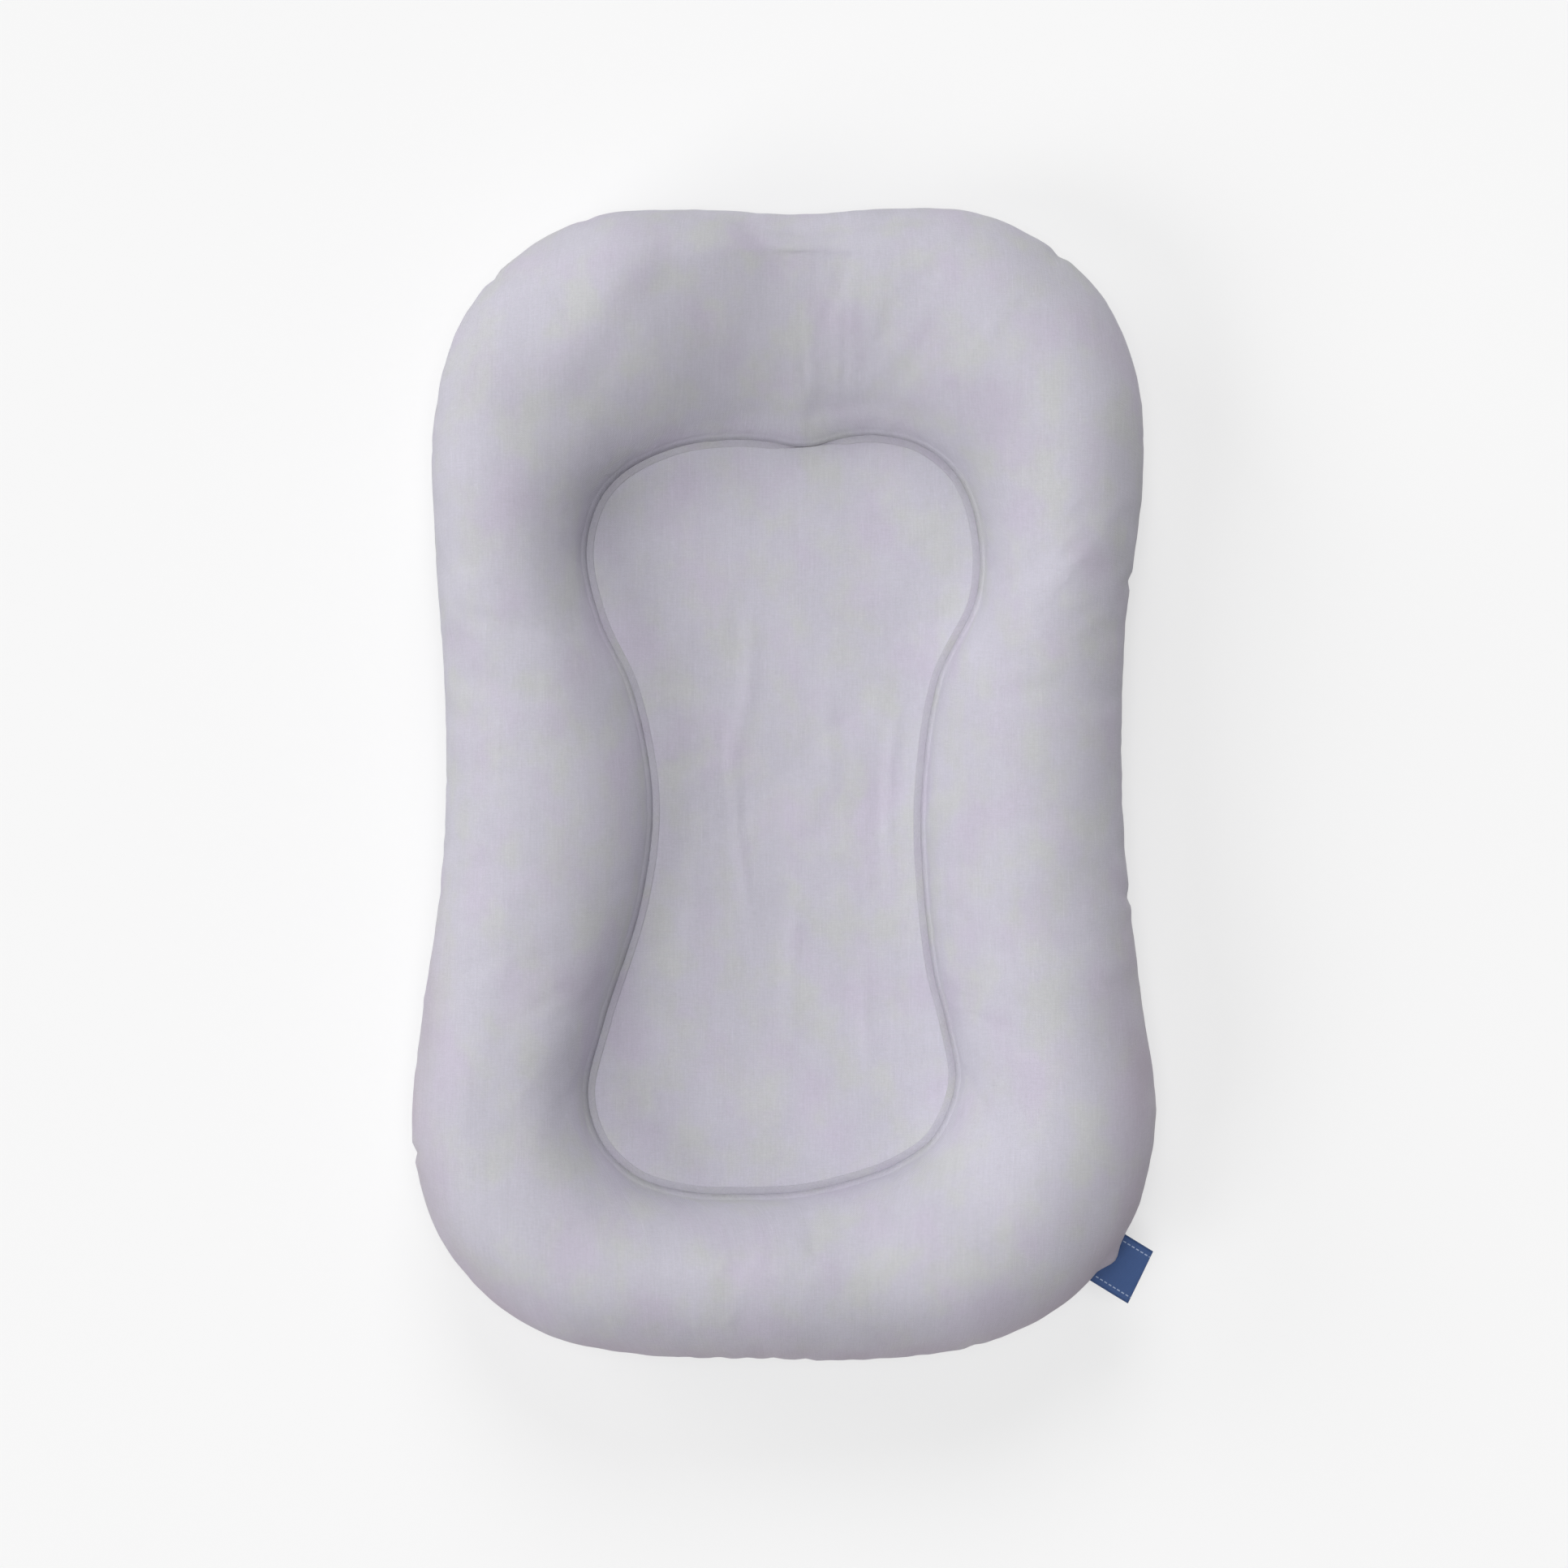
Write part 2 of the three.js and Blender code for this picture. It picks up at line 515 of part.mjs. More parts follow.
function zipTopStop(side) {
  const low = [TEETH_IN, ZIP_HEAD + PLY_GAP, TEETH_LOW - STOP_PROUD];
  return mirrored(low, [TEETH_OUT + STOP_PROUD, ZIP_HEAD + PLY_GAP + STOP_LENGTH, TEETH_HIGH], side);
}

function zipBottomStop() {
  const half = TEETH_OUT + STOP_PROUD;
  const head = ZIP_FOOT - PLY_GAP;
  return block([-half, head - STOP_LENGTH, TEETH_LOW - STOP_PROUD], [half, head, TEETH_HIGH]);
}

// One plate of the slider, wide at the shoulders and narrow behind them
function sliderPlate(low) {
  const half = SLIDER_LENGTH / 2;
  const outlineShares = [
    [1, -0.8], [0.75, -1], [-0.75, -1], [-1, -0.8], [-1, 0.1], [-1, 0.35],
    [-1, 0.7], [-0.55, 1], [0.55, 1], [1, 0.7], [1, 0.35], [1, 0.1],
  ];
  const points = outlineShares.map(([x, y]) => {
    const reach = y > 0.2 ? SLIDER_FRONT_HALF : SLIDER_REAR_HALF;
    return new THREE.Vector2(x * reach, y * half);
  });
  const settings = { depth: SLIDER_PLATE, bevelEnabled: false };
  return new THREE.ExtrudeGeometry(new THREE.Shape(points), settings).translate(0, SLIDER_MIDDLE, low);
}

function zipSlider() {
  const rear = SLIDER_MIDDLE - SLIDER_LENGTH / 2 + SLIDER_NOSE;
  const front = SLIDER_HEAD - SLIDER_NOSE;
  const bite = SLIDER_PLATE / 2; // how far the walls and post go into the plates they join
  const base = OUTER_PLATE_HIGH - bite;
  const walls = [-1, 1].map((side) => {
    const high = [SLIDER_REAR_HALF, rear + SLIDER_WALL_LENGTH, TAPE_LOW - SLIDE_CLEARANCE];
    return mirrored([SLIDER_IN, rear, base], high, side);
  });
  const post = block(
    [-POST_WIDTH / 2, front - POST_LENGTH, base],
    [POST_WIDTH / 2, front, INNER_PLATE_LOW + bite],
  );
  const barHigh = OUTER_PLATE_LOW - BRIDGE_OPENING;
  const barLow = barHigh - BRIDGE_BAR;
  const bridgeHalf = BRIDGE_LENGTH / 2;
  const bar = block(
    [-BRIDGE_WIDTH / 2, SLIDER_MIDDLE - bridgeHalf, barLow],
    [BRIDGE_WIDTH / 2, SLIDER_MIDDLE + bridgeHalf, barHigh],
  );
  const legs = [-bridgeHalf, bridgeHalf - BRIDGE_BAR].map((start) =>
    block(
      [-BRIDGE_WIDTH / 2, SLIDER_MIDDLE + start, barLow],
      [BRIDGE_WIDTH / 2, SLIDER_MIDDLE + start + BRIDGE_BAR, OUTER_PLATE_LOW + bite],
    ),
  );
  return joined(sliderPlate(OUTER_PLATE_LOW), sliderPlate(INNER_PLATE_LOW), ...walls, post, bar, ...legs);
}

// The pull lies flat along the zip. Its crosspiece passes under the bridge and turns there about X.
function zipPull() {
  const rimHalf = PULL_RIM / 2;
  const wide = PULL_WIDTH / 2;
  const eyeHalf = wide - PULL_RIM;
  const eyeLength = BRIDGE_LENGTH / 2 + BRIDGE_OPENING;
  const tip = rimHalf - PULL_LENGTH;
  const outline = new THREE.Shape();
  outline.moveTo(-wide, rimHalf);
  outline.lineTo(-wide, tip + wide);
  outline.absarc(0, tip + wide, wide, Math.PI, 2 * Math.PI, false);
  outline.lineTo(wide, rimHalf);
  const eye = new THREE.Path();
  eye.moveTo(-eyeHalf, -rimHalf);
  eye.lineTo(eyeHalf, -rimHalf);
  eye.lineTo(eyeHalf, -rimHalf - eyeLength);
  eye.lineTo(-eyeHalf, -rimHalf - eyeLength);
  const grip = new THREE.Path().absarc(0, tip + wide, PULL_GRIP_HOLE / 2, 0, 2 * Math.PI, false);
  outline.holes.push(eye, grip);
  const settings = { depth: PULL_THICKNESS, bevelEnabled: false, curveSegments: 6 };
  const low = OUTER_PLATE_LOW - BRIDGE_OPENING / 2 - PULL_THICKNESS / 2;
  return new THREE.ExtrudeGeometry(outline, settings).translate(0, SLIDER_MIDDLE, low);
}

const [undersideLeft, undersideRight] = coverUndersideHalves();
const tag = solidOf(foldedStrip()).subtract(solidOf(insideOfCover()));

add("cover_top_bolster", coverTopBolster(), cloth());
add("cover_centre_panel", coverCentrePanel(), cloth({ color: 0xc7c5d1 }));
add("centre_piping", pipingWrap(), cloth({ color: 0xbdbbc7 }));
add("piping_cord", pipingCord(), cloth({ color: 0xf6f6f2 }));
add("cover_under_left", undersideLeft, cloth());
add("cover_under_right", undersideRight, cloth());
add("side_tag", geometryOf(tag), cloth({ color: 0x37527f, roughness: 0.75 }));
add("insert_liner_top", linerTop(), cloth({ color: 0xf0eee8 }));
add("insert_liner_under", linerUnder(), cloth({ color: 0xf0eee8 }));
add("bolster_fill", bolsterFill(), cloth({ color: 0xfafaf8, roughness: 1 }));
add("centre_pad", centrePad(), cloth({ color: 0xf6f6f2, roughness: 1 }));
for (const [side, place] of [[-1, "left"], [1, "right"]]) {
  add(`zip_tape_${place}`, zipTape(side), cloth({ color: 0xbdbbc7 }));
  add(`zip_teeth_${place}`, zipTeeth(side), nylon);
  add(`zip_top_stop_${place}`, zipTopStop(side), metal);
}
add("zip_bottom_stop", zipBottomStop(), metal);
add("zip_slider", zipSlider(), metal);
add("zip_pull", zipPull(), metal);

export default lounger;
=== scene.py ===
# %% [markdown]
# An infant lounger, seen from straight above: a stuffed ring bolster round a thin padded centre, in a lilac
# grey cotton cover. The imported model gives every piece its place. This script gives the cloth its folds, the
# zip its teeth and every surface its material.

import math

import bmesh
import bpy
import numpy as np
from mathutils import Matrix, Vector
from mathutils.geometry import delaunay_2d_cdt
from mathutils.kdtree import KDTree


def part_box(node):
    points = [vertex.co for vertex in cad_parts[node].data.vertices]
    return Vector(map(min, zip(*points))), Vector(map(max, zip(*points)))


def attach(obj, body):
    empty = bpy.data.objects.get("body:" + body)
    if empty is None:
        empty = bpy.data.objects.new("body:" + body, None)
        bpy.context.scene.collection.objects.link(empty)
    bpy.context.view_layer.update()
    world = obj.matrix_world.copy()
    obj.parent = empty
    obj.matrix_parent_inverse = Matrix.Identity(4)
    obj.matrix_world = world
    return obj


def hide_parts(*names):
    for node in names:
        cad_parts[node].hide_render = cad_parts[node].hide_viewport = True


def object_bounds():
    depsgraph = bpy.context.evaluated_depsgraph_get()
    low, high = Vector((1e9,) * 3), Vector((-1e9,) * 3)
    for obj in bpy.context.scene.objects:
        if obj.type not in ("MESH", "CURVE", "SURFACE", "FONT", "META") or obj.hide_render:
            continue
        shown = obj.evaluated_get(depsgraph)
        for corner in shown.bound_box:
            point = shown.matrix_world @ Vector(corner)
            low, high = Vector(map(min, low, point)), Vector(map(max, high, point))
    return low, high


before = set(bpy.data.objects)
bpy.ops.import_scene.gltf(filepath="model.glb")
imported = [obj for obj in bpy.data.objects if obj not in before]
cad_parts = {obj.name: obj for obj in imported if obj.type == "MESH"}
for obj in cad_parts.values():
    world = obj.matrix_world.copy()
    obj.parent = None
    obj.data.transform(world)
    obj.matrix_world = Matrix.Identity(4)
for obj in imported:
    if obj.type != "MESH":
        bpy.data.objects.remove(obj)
cad_bounds = [list(corner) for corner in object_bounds()]
print("solids' box in metres", cad_bounds)

# %% [markdown]
# The cover is sewn along two lines: the edge seam round the outside, and the seam round the centre panel. They
# could be drawn by hand as curves. Here each is 32 chosen points, as shares of half the width and half the
# length, because the solids are shaped by the same points, and numbers can be compared one by one.

# %% Points of the two seams
EDGE_SHARES = np.array(
    [
        (0.908, 0.023), (0.919, 0.276), (0.965, 0.523), (0.952, 0.693), (0.865, 0.834), (0.707, 0.931),
        (0.522, 0.987), (0.314, 0.996), (0.031, 0.986), (-0.253, 0.993), (-0.504, 0.979), (-0.712, 0.914),
        (-0.875, 0.79), (-0.943, 0.62), (-0.938, 0.4), (-0.914, 0.17), (-0.91, -0.034), (-0.928, -0.203),
        (-0.976, -0.415), (-1, -0.605), (-0.945, -0.76), (-0.817, -0.877), (-0.635, -0.955),
        (-0.384, -0.99), (-0.079, -0.996), (0.238, -0.999), (0.544, -0.969), (0.773, -0.891),
        (0.937, -0.757), (1, -0.577), (0.963, -0.379), (0.924, -0.168),
    ]
)  # fmt: skip
CENTRE_SHARES = np.array(
    [
        (0.362, -0.02), (0.406, 0.178), (0.511, 0.326), (0.515, 0.432), (0.472, 0.52), (0.38, 0.577),
        (0.26, 0.599), (0.151, 0.595), (0.052, 0.585), (-0.133, 0.592), (-0.297, 0.577), (-0.439, 0.53),
        (-0.5, 0.478), (-0.526, 0.4), (-0.491, 0.29), (-0.4, 0.16), (-0.347, -0.034), (-0.378, -0.21),
        (-0.478, -0.417), (-0.522, -0.542), (-0.489, -0.619), (-0.395, -0.68), (-0.253, -0.707),
        (-0.111, -0.711), (0.031, -0.707), (0.172, -0.688), (0.303, -0.657), (0.402, -0.608),
        (0.454, -0.52), (0.43, -0.42), (0.395, -0.33), (0.367, -0.175),
    ]
)  # fmt: skip
print(len(EDGE_SHARES), "points on the edge seam,", len(CENTRE_SHARES), "on the centre seam")

# %% [markdown]
# A seam is one smooth line, so the points need a curve through all of them. A Catmull-Rom loop is such a curve
# and has no handles to set. Its centripetal kind makes no kinks where two points lie close together.


# %% Smooth loops
def neighbours(values, u, offsets):
    """The values round each place u of a closed loop, and how far u is from the first of them to the next."""
    place = (np.asarray(u, float) % 1) * len(values)
    first = np.floor(place).astype(int)
    return [values[(first + k) % len(values)] for k in offsets], place - first


def loop_through(points, u):
    """Points at u, from 0 to 1 round a closed centripetal Catmull-Rom loop."""
    (p0, p1, p2, p3), t = neighbours(points, u, (-1, 0, 1, 2))
    t = t[:, None]
    d0, d1, d2 = (np.sqrt(np.linalg.norm(b - a, axis=1))[:, None] for a, b in ((p0, p1), (p1, p2), (p2, p3)))
    out = ((p1 - p0) / d0 - (p2 - p0) / (d0 + d1) + (p2 - p1) / d1) * d1
    back = ((p2 - p1) / d1 - (p3 - p1) / (d1 + d2) + (p3 - p2) / d2) * d1
    return p1 + out * t + (3 * (p2 - p1) - 2 * out - back) * t**2 + (2 * (p1 - p2) + out + back) * t**3


def values_through(values, u):
    """Values at u of a uniform Catmull-Rom loop."""
    (a, b, c, d), t = neighbours(np.array(values), u, (-1, 0, 1, 2))
    return b + 0.5 * t * (c - a + t * (2 * a - 5 * b + 4 * c - d + t * (3 * b - a - 3 * c + d)))


# %% [markdown]
# The shares are brought to metres by the box of the cover's own solid. Each seam then gets the same number of
# columns, spaced evenly along a line midway between the two, so that the facets of the bolster's cloth are
# about equally wide all the way round.

# %% Seams in metres
COLUMNS = 704  # about 3 mm of seam for each column of facets
COARSE_POINTS = 56  # the solid's own number of points round the edge, whose box gives the scale
cover_low, cover_high = (np.array(corner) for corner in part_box("cover_top_bolster"))
coarse_ring = loop_through(EDGE_SHARES, np.arange(COARSE_POINTS) / COARSE_POINTS)
PLAN_LOW, PLAN_HIGH = coarse_ring.min(axis=0), coarse_ring.max(axis=0)
PLAN_SCALE = (cover_high - cover_low)[:2] / (PLAN_HIGH - PLAN_LOW)


def seam_at(shares, u):
    """Places in metres, seen from above, on one of the two seams."""
    return (loop_through(shares, u) - (PLAN_LOW + PLAN_HIGH) / 2) * PLAN_SCALE


def sideways(along):
    """The level direction to the right of each direction along a loop."""
    away = np.stack([along[:, 1], -along[:, 0]], axis=1)
    return away / np.linalg.norm(away, axis=1)[:, None]


def outward(loop):
    """The level direction away from the middle at each point of a loop."""
    return sideways(np.roll(loop, -1, axis=0) - np.roll(loop, 1, axis=0))


def run_of(points):
    """How far each point is along a line, from its first point."""
    steps = np.linalg.norm(np.diff(points, axis=0), axis=1)
    return np.concatenate([[0], np.cumsum(steps)])


def shorter_way(distance, length):
    """A distance round a loop of the given length as the shorter way, forwards or back."""
    return (distance + length / 2) % length - length / 2


fine_u = np.linspace(0, 1, 5001)
midway_run = run_of((seam_at(EDGE_SHARES, fine_u) + seam_at(CENTRE_SHARES, fine_u)) / 2)
U = np.interp(np.arange(COLUMNS) / COLUMNS * midway_run[-1], midway_run, fine_u)
EDGE, CENTRE = seam_at(EDGE_SHARES, U), seam_at(CENTRE_SHARES, U)
EDGE_OUT, CENTRE_OUT = outward(EDGE), outward(CENTRE)
ACROSS = CENTRE - EDGE
edge_run = run_of(np.vstack([EDGE, EDGE[:1]]))
centre_run = run_of(np.vstack([CENTRE, CENTRE[:1]]))
EDGE_LENGTH, CENTRE_LENGTH = edge_run[-1], centre_run[-1]
print("edge seam", round(EDGE_LENGTH, 3), "m, centre seam", round(CENTRE_LENGTH, 3), "m")

# %% [markdown]
# The bolster is a tube of stuffing, but not an even one. At the same 32 stations three lists say how high its
# crown is, how far in from the edge seam the crown lies, and how full its inner slope is. The middle of the
# head end is low and soft, and the lobes are full.

# %% Shape of the bolster from station to station
CROWN_SHARES = [
    0.85, 0.85, 0.86, 0.88, 0.87, 0.85, 0.82, 0.82, 0.86, 0.94, 1, 0.97, 0.9, 0.85, 0.84, 0.86,
    0.89, 0.89, 0.9, 0.91, 0.93, 0.95, 0.96, 0.96, 0.96, 0.96, 0.97, 0.96, 0.94, 0.91, 0.88, 0.86,
]  # fmt: skip
CROWN_PLACES = [
    0.44, 0.44, 0.44, 0.45, 0.45, 0.42, 0.35, 0.26, 0.2, 0.27, 0.38, 0.45, 0.45, 0.44, 0.43, 0.44,
    0.45, 0.44, 0.42, 0.41, 0.43, 0.46, 0.49, 0.52, 0.53, 0.52, 0.5, 0.48, 0.47, 0.45, 0.45, 0.44,
]  # fmt: skip
FULLNESSES = [
    0.82, 0.8, 0.8, 0.8, 0.8, 0.82, 0.86, 0.92, 0.95, 0.94, 0.93, 0.92, 0.92, 0.92, 0.92, 0.94,
    0.95, 1, 1.1, 1.15, 1.1, 1, 0.92, 0.85, 0.85, 0.85, 0.85, 0.82, 0.8, 0.8, 0.8, 0.82,
]  # fmt: skip
CROWN_HEIGHT = 0.122
CROWN = CROWN_HEIGHT * values_through(CROWN_SHARES, U)
CROWN_SHARE, FULLNESS = values_through(CROWN_PLACES, U), values_through(FULLNESSES, U)
print("crown between", round(CROWN.min(), 3), "and", round(CROWN.max(), 3), "m high")

# %% [markdown]
# At the centre seam the bolster's cloth ends on the piping, and turns in towards it at its foot. Where the
# piping's two ends meet, it grows thin, so there the panel and the bolster close up to the seam's line.

# %% Room for the piping
EDGE_SEAM_HEIGHT = 0.056
CENTRE_SEAM_HEIGHT = 0.046
PIPING_JOIN = 0.017  # the piping's ends meet this far right of the middle, at the head end
JOIN_SPAN = (0.003, 0.028)  # the piping begins to grow and is whole this far from where its ends meet
CLOSED_GAP, PIPING_ROOM = 0.00015, 0.0018  # from the seam's line to the cloth at the join, and more elsewhere
FILLET, FILLET_HEIGHT = 0.0036, 0.0020  # how far the cloth's foot turns in towards the piping
FOOT_LIFT = 0.0004  # how far the foot rides up on the piping


def smooth_step(value, low, high):
    """0 up to low and 1 from high on, with a smooth rise between them."""
    t = np.clip((value - low) / (high - low), 0, 1)
    return t * t * (3 - 2 * t)


join_distance = np.abs(CENTRE[:, 0] - PIPING_JOIN) + np.where(CENTRE[:, 1] > 0, 0, 1)
join_run = centre_run[np.argmin(join_distance)]


def from_join(run):
    """The distance along the centre seam to the piping's join."""
    return np.abs(shorter_way(run - join_run, CENTRE_LENGTH))


beside_join = smooth_step(from_join(centre_run[:-1]), *JOIN_SPAN)
SEAM_GAP = CLOSED_GAP + PIPING_ROOM * beside_join
INWARDS = -np.einsum("ij,ij->i", ACROSS, CENTRE_OUT)
CLEAR, WALL = 1 - SEAM_GAP / INWARDS, 1 - (SEAM_GAP + FILLET) / INWARDS
CLEAR_HEIGHT = CENTRE_SEAM_HEIGHT + FOOT_LIFT * beside_join
print("piping's ends meet", round(join_run, 3), "m along the centre seam")

# %% [markdown]
# Seen in section, the cloth on top is a quarter of an ellipse from the edge seam to the crown, and then falls
# ever steeper to its foot beside the piping. A formula for the section is enough, because it changes slowly on
# its way round. Rows of points lie close together beside the seams, where the small folds are.

# %% Plain surface of the bolster's top
PLY_GAP = 0.0003
STEEPNESS = 2.35  # the power of the rounder of the two inner slopes
TOP_TURNS_ALL = np.full(COLUMNS, 2.0)
SEAM_ROWS = np.array([0, 0.8, 1.8, 3.0, 4.6, 6.8]) / 1000
FIRST_PLAIN_ROW = 0.0096  # beyond the close rows beside a seam


def lifted(plan, height):
    """Plan points set at a height."""
    plan, height = np.broadcast_arrays(plan, np.asarray(height)[..., None])
    return np.concatenate([plan, height[..., :1]], axis=-1)


def over_bolster(turns):
    """The cloth on top: turn 0 is the edge seam, 1 the crown and 2 its end beside the piping."""
    up = np.clip(turns, 0, 1) * math.pi / 2
    down = np.clip(turns - 1, 0, 1)
    flared, rounded = (1 + np.cos(down * math.pi)) / 2, (1 - down**STEEPNESS) ** (1 / STEEPNESS)
    fall = flared + (rounded - flared) * FULLNESS
    low = EDGE_SEAM_HEIGHT + PLY_GAP / 2
    outside = low + (CROWN - low) * np.sin(up)
    inside = CLEAR_HEIGHT + (CROWN - CLEAR_HEIGHT) * fall
    foot = (CLEAR - WALL) * np.exp(-(inside - CLEAR_HEIGHT) / FILLET_HEIGHT)
    wall = CROWN_SHARE + (WALL - CROWN_SHARE) * down + foot
    share = np.where(turns <= 1, CROWN_SHARE * (1 - np.cos(up)), wall)
    return lifted(EDGE + share[..., None] * ACROSS, np.where(turns <= 1, outside, inside))


def mean_section(surface, last_turn):
    """Shares of the last turn, and the metres of cloth to each along a mean section."""
    shares = np.linspace(0, 1, 301)
    steps = np.linalg.norm(np.diff(surface(shares[:, None] * last_turn), axis=0), axis=2).mean(axis=1)
    return shares, np.concatenate([[0], np.cumsum(steps)])


def rows_for(surface, last_turn, places):
    """Turns whose rows lie at places, in metres of cloth along a mean section."""
    shares, run = mean_section(surface, last_turn)
    return np.interp(places, run, shares)[:, None] * last_turn


top_length = mean_section(over_bolster, TOP_TURNS_ALL)[1][-1]
plain_rows = np.linspace(FIRST_PLAIN_ROW, top_length - FIRST_PLAIN_ROW, 48)
TOP_PLACES = np.concatenate([SEAM_ROWS, plain_rows, top_length - SEAM_ROWS[::-1]])
TOP_TURNS = rows_for(over_bolster, TOP_TURNS_ALL, TOP_PLACES)
top_designed = over_bolster(TOP_TURNS)
print("bolster top", top_designed.shape, "section", round(top_length, 3), "m")

# %% [markdown]
# Cloth that is sewn and stuffed never stays smooth. Lumps of stuffing show on it, and each seam gathers it into
# small puckers. They could be sculpted by hand. Here they are heights above the plain surface, from seeded
# random numbers, so that each run gives the same folds and a number can be changed later.


# %% Lumps and puckers
FOLD_START = 0.0018  # a pucker rises to its height about this far from the seam
COUNTER_FOLD = 0.5  # the share of a pucker that its two sides sink by


def bell(distance, width):
    """1 at a distance of 0, falling off smoothly to both sides."""
    return np.exp(-((distance / width) ** 2))


def off_seam(away, reach):
    """0 at a seam, rising towards 1 within a short reach of it."""
    return 1 - np.exp(-away / reach)


def bump_field(points, centres, sizes, heights):
    """Soft lumps at centres, each with its own size and height."""
    total = np.zeros(len(points))
    for centre, size, height in zip(centres, sizes, heights):
        far = ((points - centre) ** 2).sum(axis=1)
        total += height * np.exp(-far / (2 * size**2))
    return total


def lumps(points, seed, count=90, size=(0.018, 0.045), height=0.0011):
    """Uneven stuffing, the same for whatever cloth lies over it."""
    rng = np.random.default_rng(seed)
    low, high = np.array(cad_bounds[0]), np.array(cad_bounds[1])
    centres = rng.uniform(low, high, (count, 3))
    sizes, heights = rng.uniform(*size, count), rng.normal(0, height, count)
    flat = points.reshape(-1, 3)
    return bump_field(flat, centres, sizes, heights).reshape(points.shape[:-1])


def puckers(along, away, length, seed, spacing, height, reach, width, lean=0.25):
    """Folds that start at a seam and run away from it. along and away place each point beside the seam."""
    rng = np.random.default_rng(seed)
    total = np.zeros(np.broadcast(along, away).shape)
    at = 0
    while at < length:
        at += rng.uniform(*spacing)
        tall, far, wide = rng.uniform(*height), rng.uniform(*reach), rng.uniform(*width)
        tilt, sign = rng.normal(0, lean), rng.choice([-1, -1, 1])
        side = shorter_way(along - at - tilt * away, length)
        spread = wide * (1 + away / far)
        rise = off_seam(away, FOLD_START) * bell(away, far)
        total += sign * tall * rise * (bell(side, spread) - COUNTER_FOLD * bell(side, 2 * spread))
    return total


# %% [markdown]
# A few forms have their own place in the photograph: pleats on the head end, a lobe that rolls over, hollows
# across the bolster and nips in its outline. Each kind is one function of a line or a spot, so that every such
# form is one row of numbers further on.


# %% Single forms in the cloth
TROUGH, TROUGH_PLACE = 0.45, 1.6  # beside a ridge: a share of its height, and how many widths to its right
NIP_START, NIP_SCALE = 0.0015, 2.3
NIP_SIDE, NIP_SIDE_WIDTH = 0.4, 2.2  # how a nip's sides bulge: a share of it, and how many widths out


def beside_line(points, start, end, bow):
    """How far to the right of a bowed line each point is, and a share that fades towards the line's ends."""
    start, end = np.array(start), np.array(end)
    way = end - start
    length = np.linalg.norm(way)
    t = (points - start) @ way / length**2
    middle = bow * np.clip(1 - (2 * t - 1) ** 2, -0.5, 1)
    side = (points - start) @ np.array([way[1], -way[0]]) / length - middle
    return side, smooth_step(t, -0.15, 0.3) * (1 - smooth_step(t, 0.7, 1.15))


def ridge(points, start, end, height, width, bow):
    """A soft fold along a line, with a shallow trough on its right."""
    side, fade = beside_line(points, start, end, bow)
    return height * fade * (bell(side, width) - TROUGH * bell(side / width - TROUGH_PLACE, 1))


def lobe(points, start, end, height, width, back, bow):
    """A bulge that rises slowly on the left of a line and falls off sharply across it."""
    side, fade = beside_line(points, start, end, bow)
    return height * fade * bell(np.minimum(side, 0), back) * (1 - smooth_step(side, -width, width))


def hollow(points, middle, left, right, along, depth):
    """A hollow across the bolster, with its own width on each side of its middle line."""
    x, y = points[..., 0] - middle[0], points[..., 1] - middle[1]
    return -depth * bell(x, np.where(x < 0, left, right)) * np.exp(-((y / along) ** 4))


def edge_run_at(spot):
    """How far along the edge seam a spot beside it is."""
    return edge_run[np.argmin(np.linalg.norm(EDGE - spot, axis=1))]


def nips(places, along, away):
    """Single folds beside the edge seam: where each is, its height, half width and reach."""
    total = np.zeros(np.broadcast(along, away).shape)
    for x, y, height, width, reach in places:
        side = shorter_way(along - edge_run_at((x, y)), EDGE_LENGTH)
        rise = off_seam(away, NIP_START) * bell(away, reach)
        bulge = NIP_SIDE * bell(side, NIP_SIDE_WIDTH * width)
        total += NIP_SCALE * height * rise * (bell(side, width) - bulge)
    return total


# %% [markdown]
# A cloth surface that goes round the bolster is a grid: its rows follow the seams and its columns run across
# them. Three helpers give such a grid its faces, its outward directions and the metres of cloth down it.


# %% Grids of points
def grid_faces(rows, columns, round_columns=True, round_rows=False):
    """Four-sided faces of a grid, whose columns or rows may close on themselves."""
    last_row, last_column = rows - (not round_rows), columns - (not round_columns)
    r, c = np.meshgrid(np.arange(last_row), np.arange(last_column), indexing="ij")
    below, right = (r + 1) % rows, (c + 1) % columns
    corners = [r * columns + c, r * columns + right, below * columns + right, below * columns + c]
    return np.stack(corners, axis=-1).reshape(-1, 4)


def grid_normals(grid):
    """Directions out of a surface whose columns run round and whose rows run inwards on top."""
    around = np.roll(grid, -1, axis=1) - np.roll(grid, 1, axis=1)
    normals = np.cross(around, np.gradient(grid, axis=0))
    return normals / np.linalg.norm(normals, axis=2)[..., None]


def rows_run(grid):
    """How far down its own column each point of a grid is."""
    steps = np.linalg.norm(np.diff(grid, axis=0), axis=2)
    return np.vstack([np.zeros(grid.shape[1]), np.cumsum(steps, axis=0)])


# %% [markdown]
# A cloth simulation gives the finer folds. The plain surface is held at its seams and lightly blown up, and
# whatever wrinkles it forms are kept as heights. The swelling itself is taken away again, because the plain
# surface already has the shape of the stuffed cover.

# %% Settling the cloth
CLOTH_FRAMES = 20
FOLD_LIMIT = 0.003  # metres that a simulated fold may rise or sink
SLACK = 0.03  # how much larger the cloth is cut than the surface that it covers
START_UNEVEN = 0.0003  # the cloth starts this rough, so that it folds and doesn't only stretch
PRESSURE, STRETCH, SHEAR, BEND = 4, 12, 4, 0.35


def put(name, data):
    """A new object in the scene that holds the given mesh, lamp or camera."""
    thing = bpy.data.objects.new(name, data)
    bpy.context.scene.collection.objects.link(thing)
    return thing


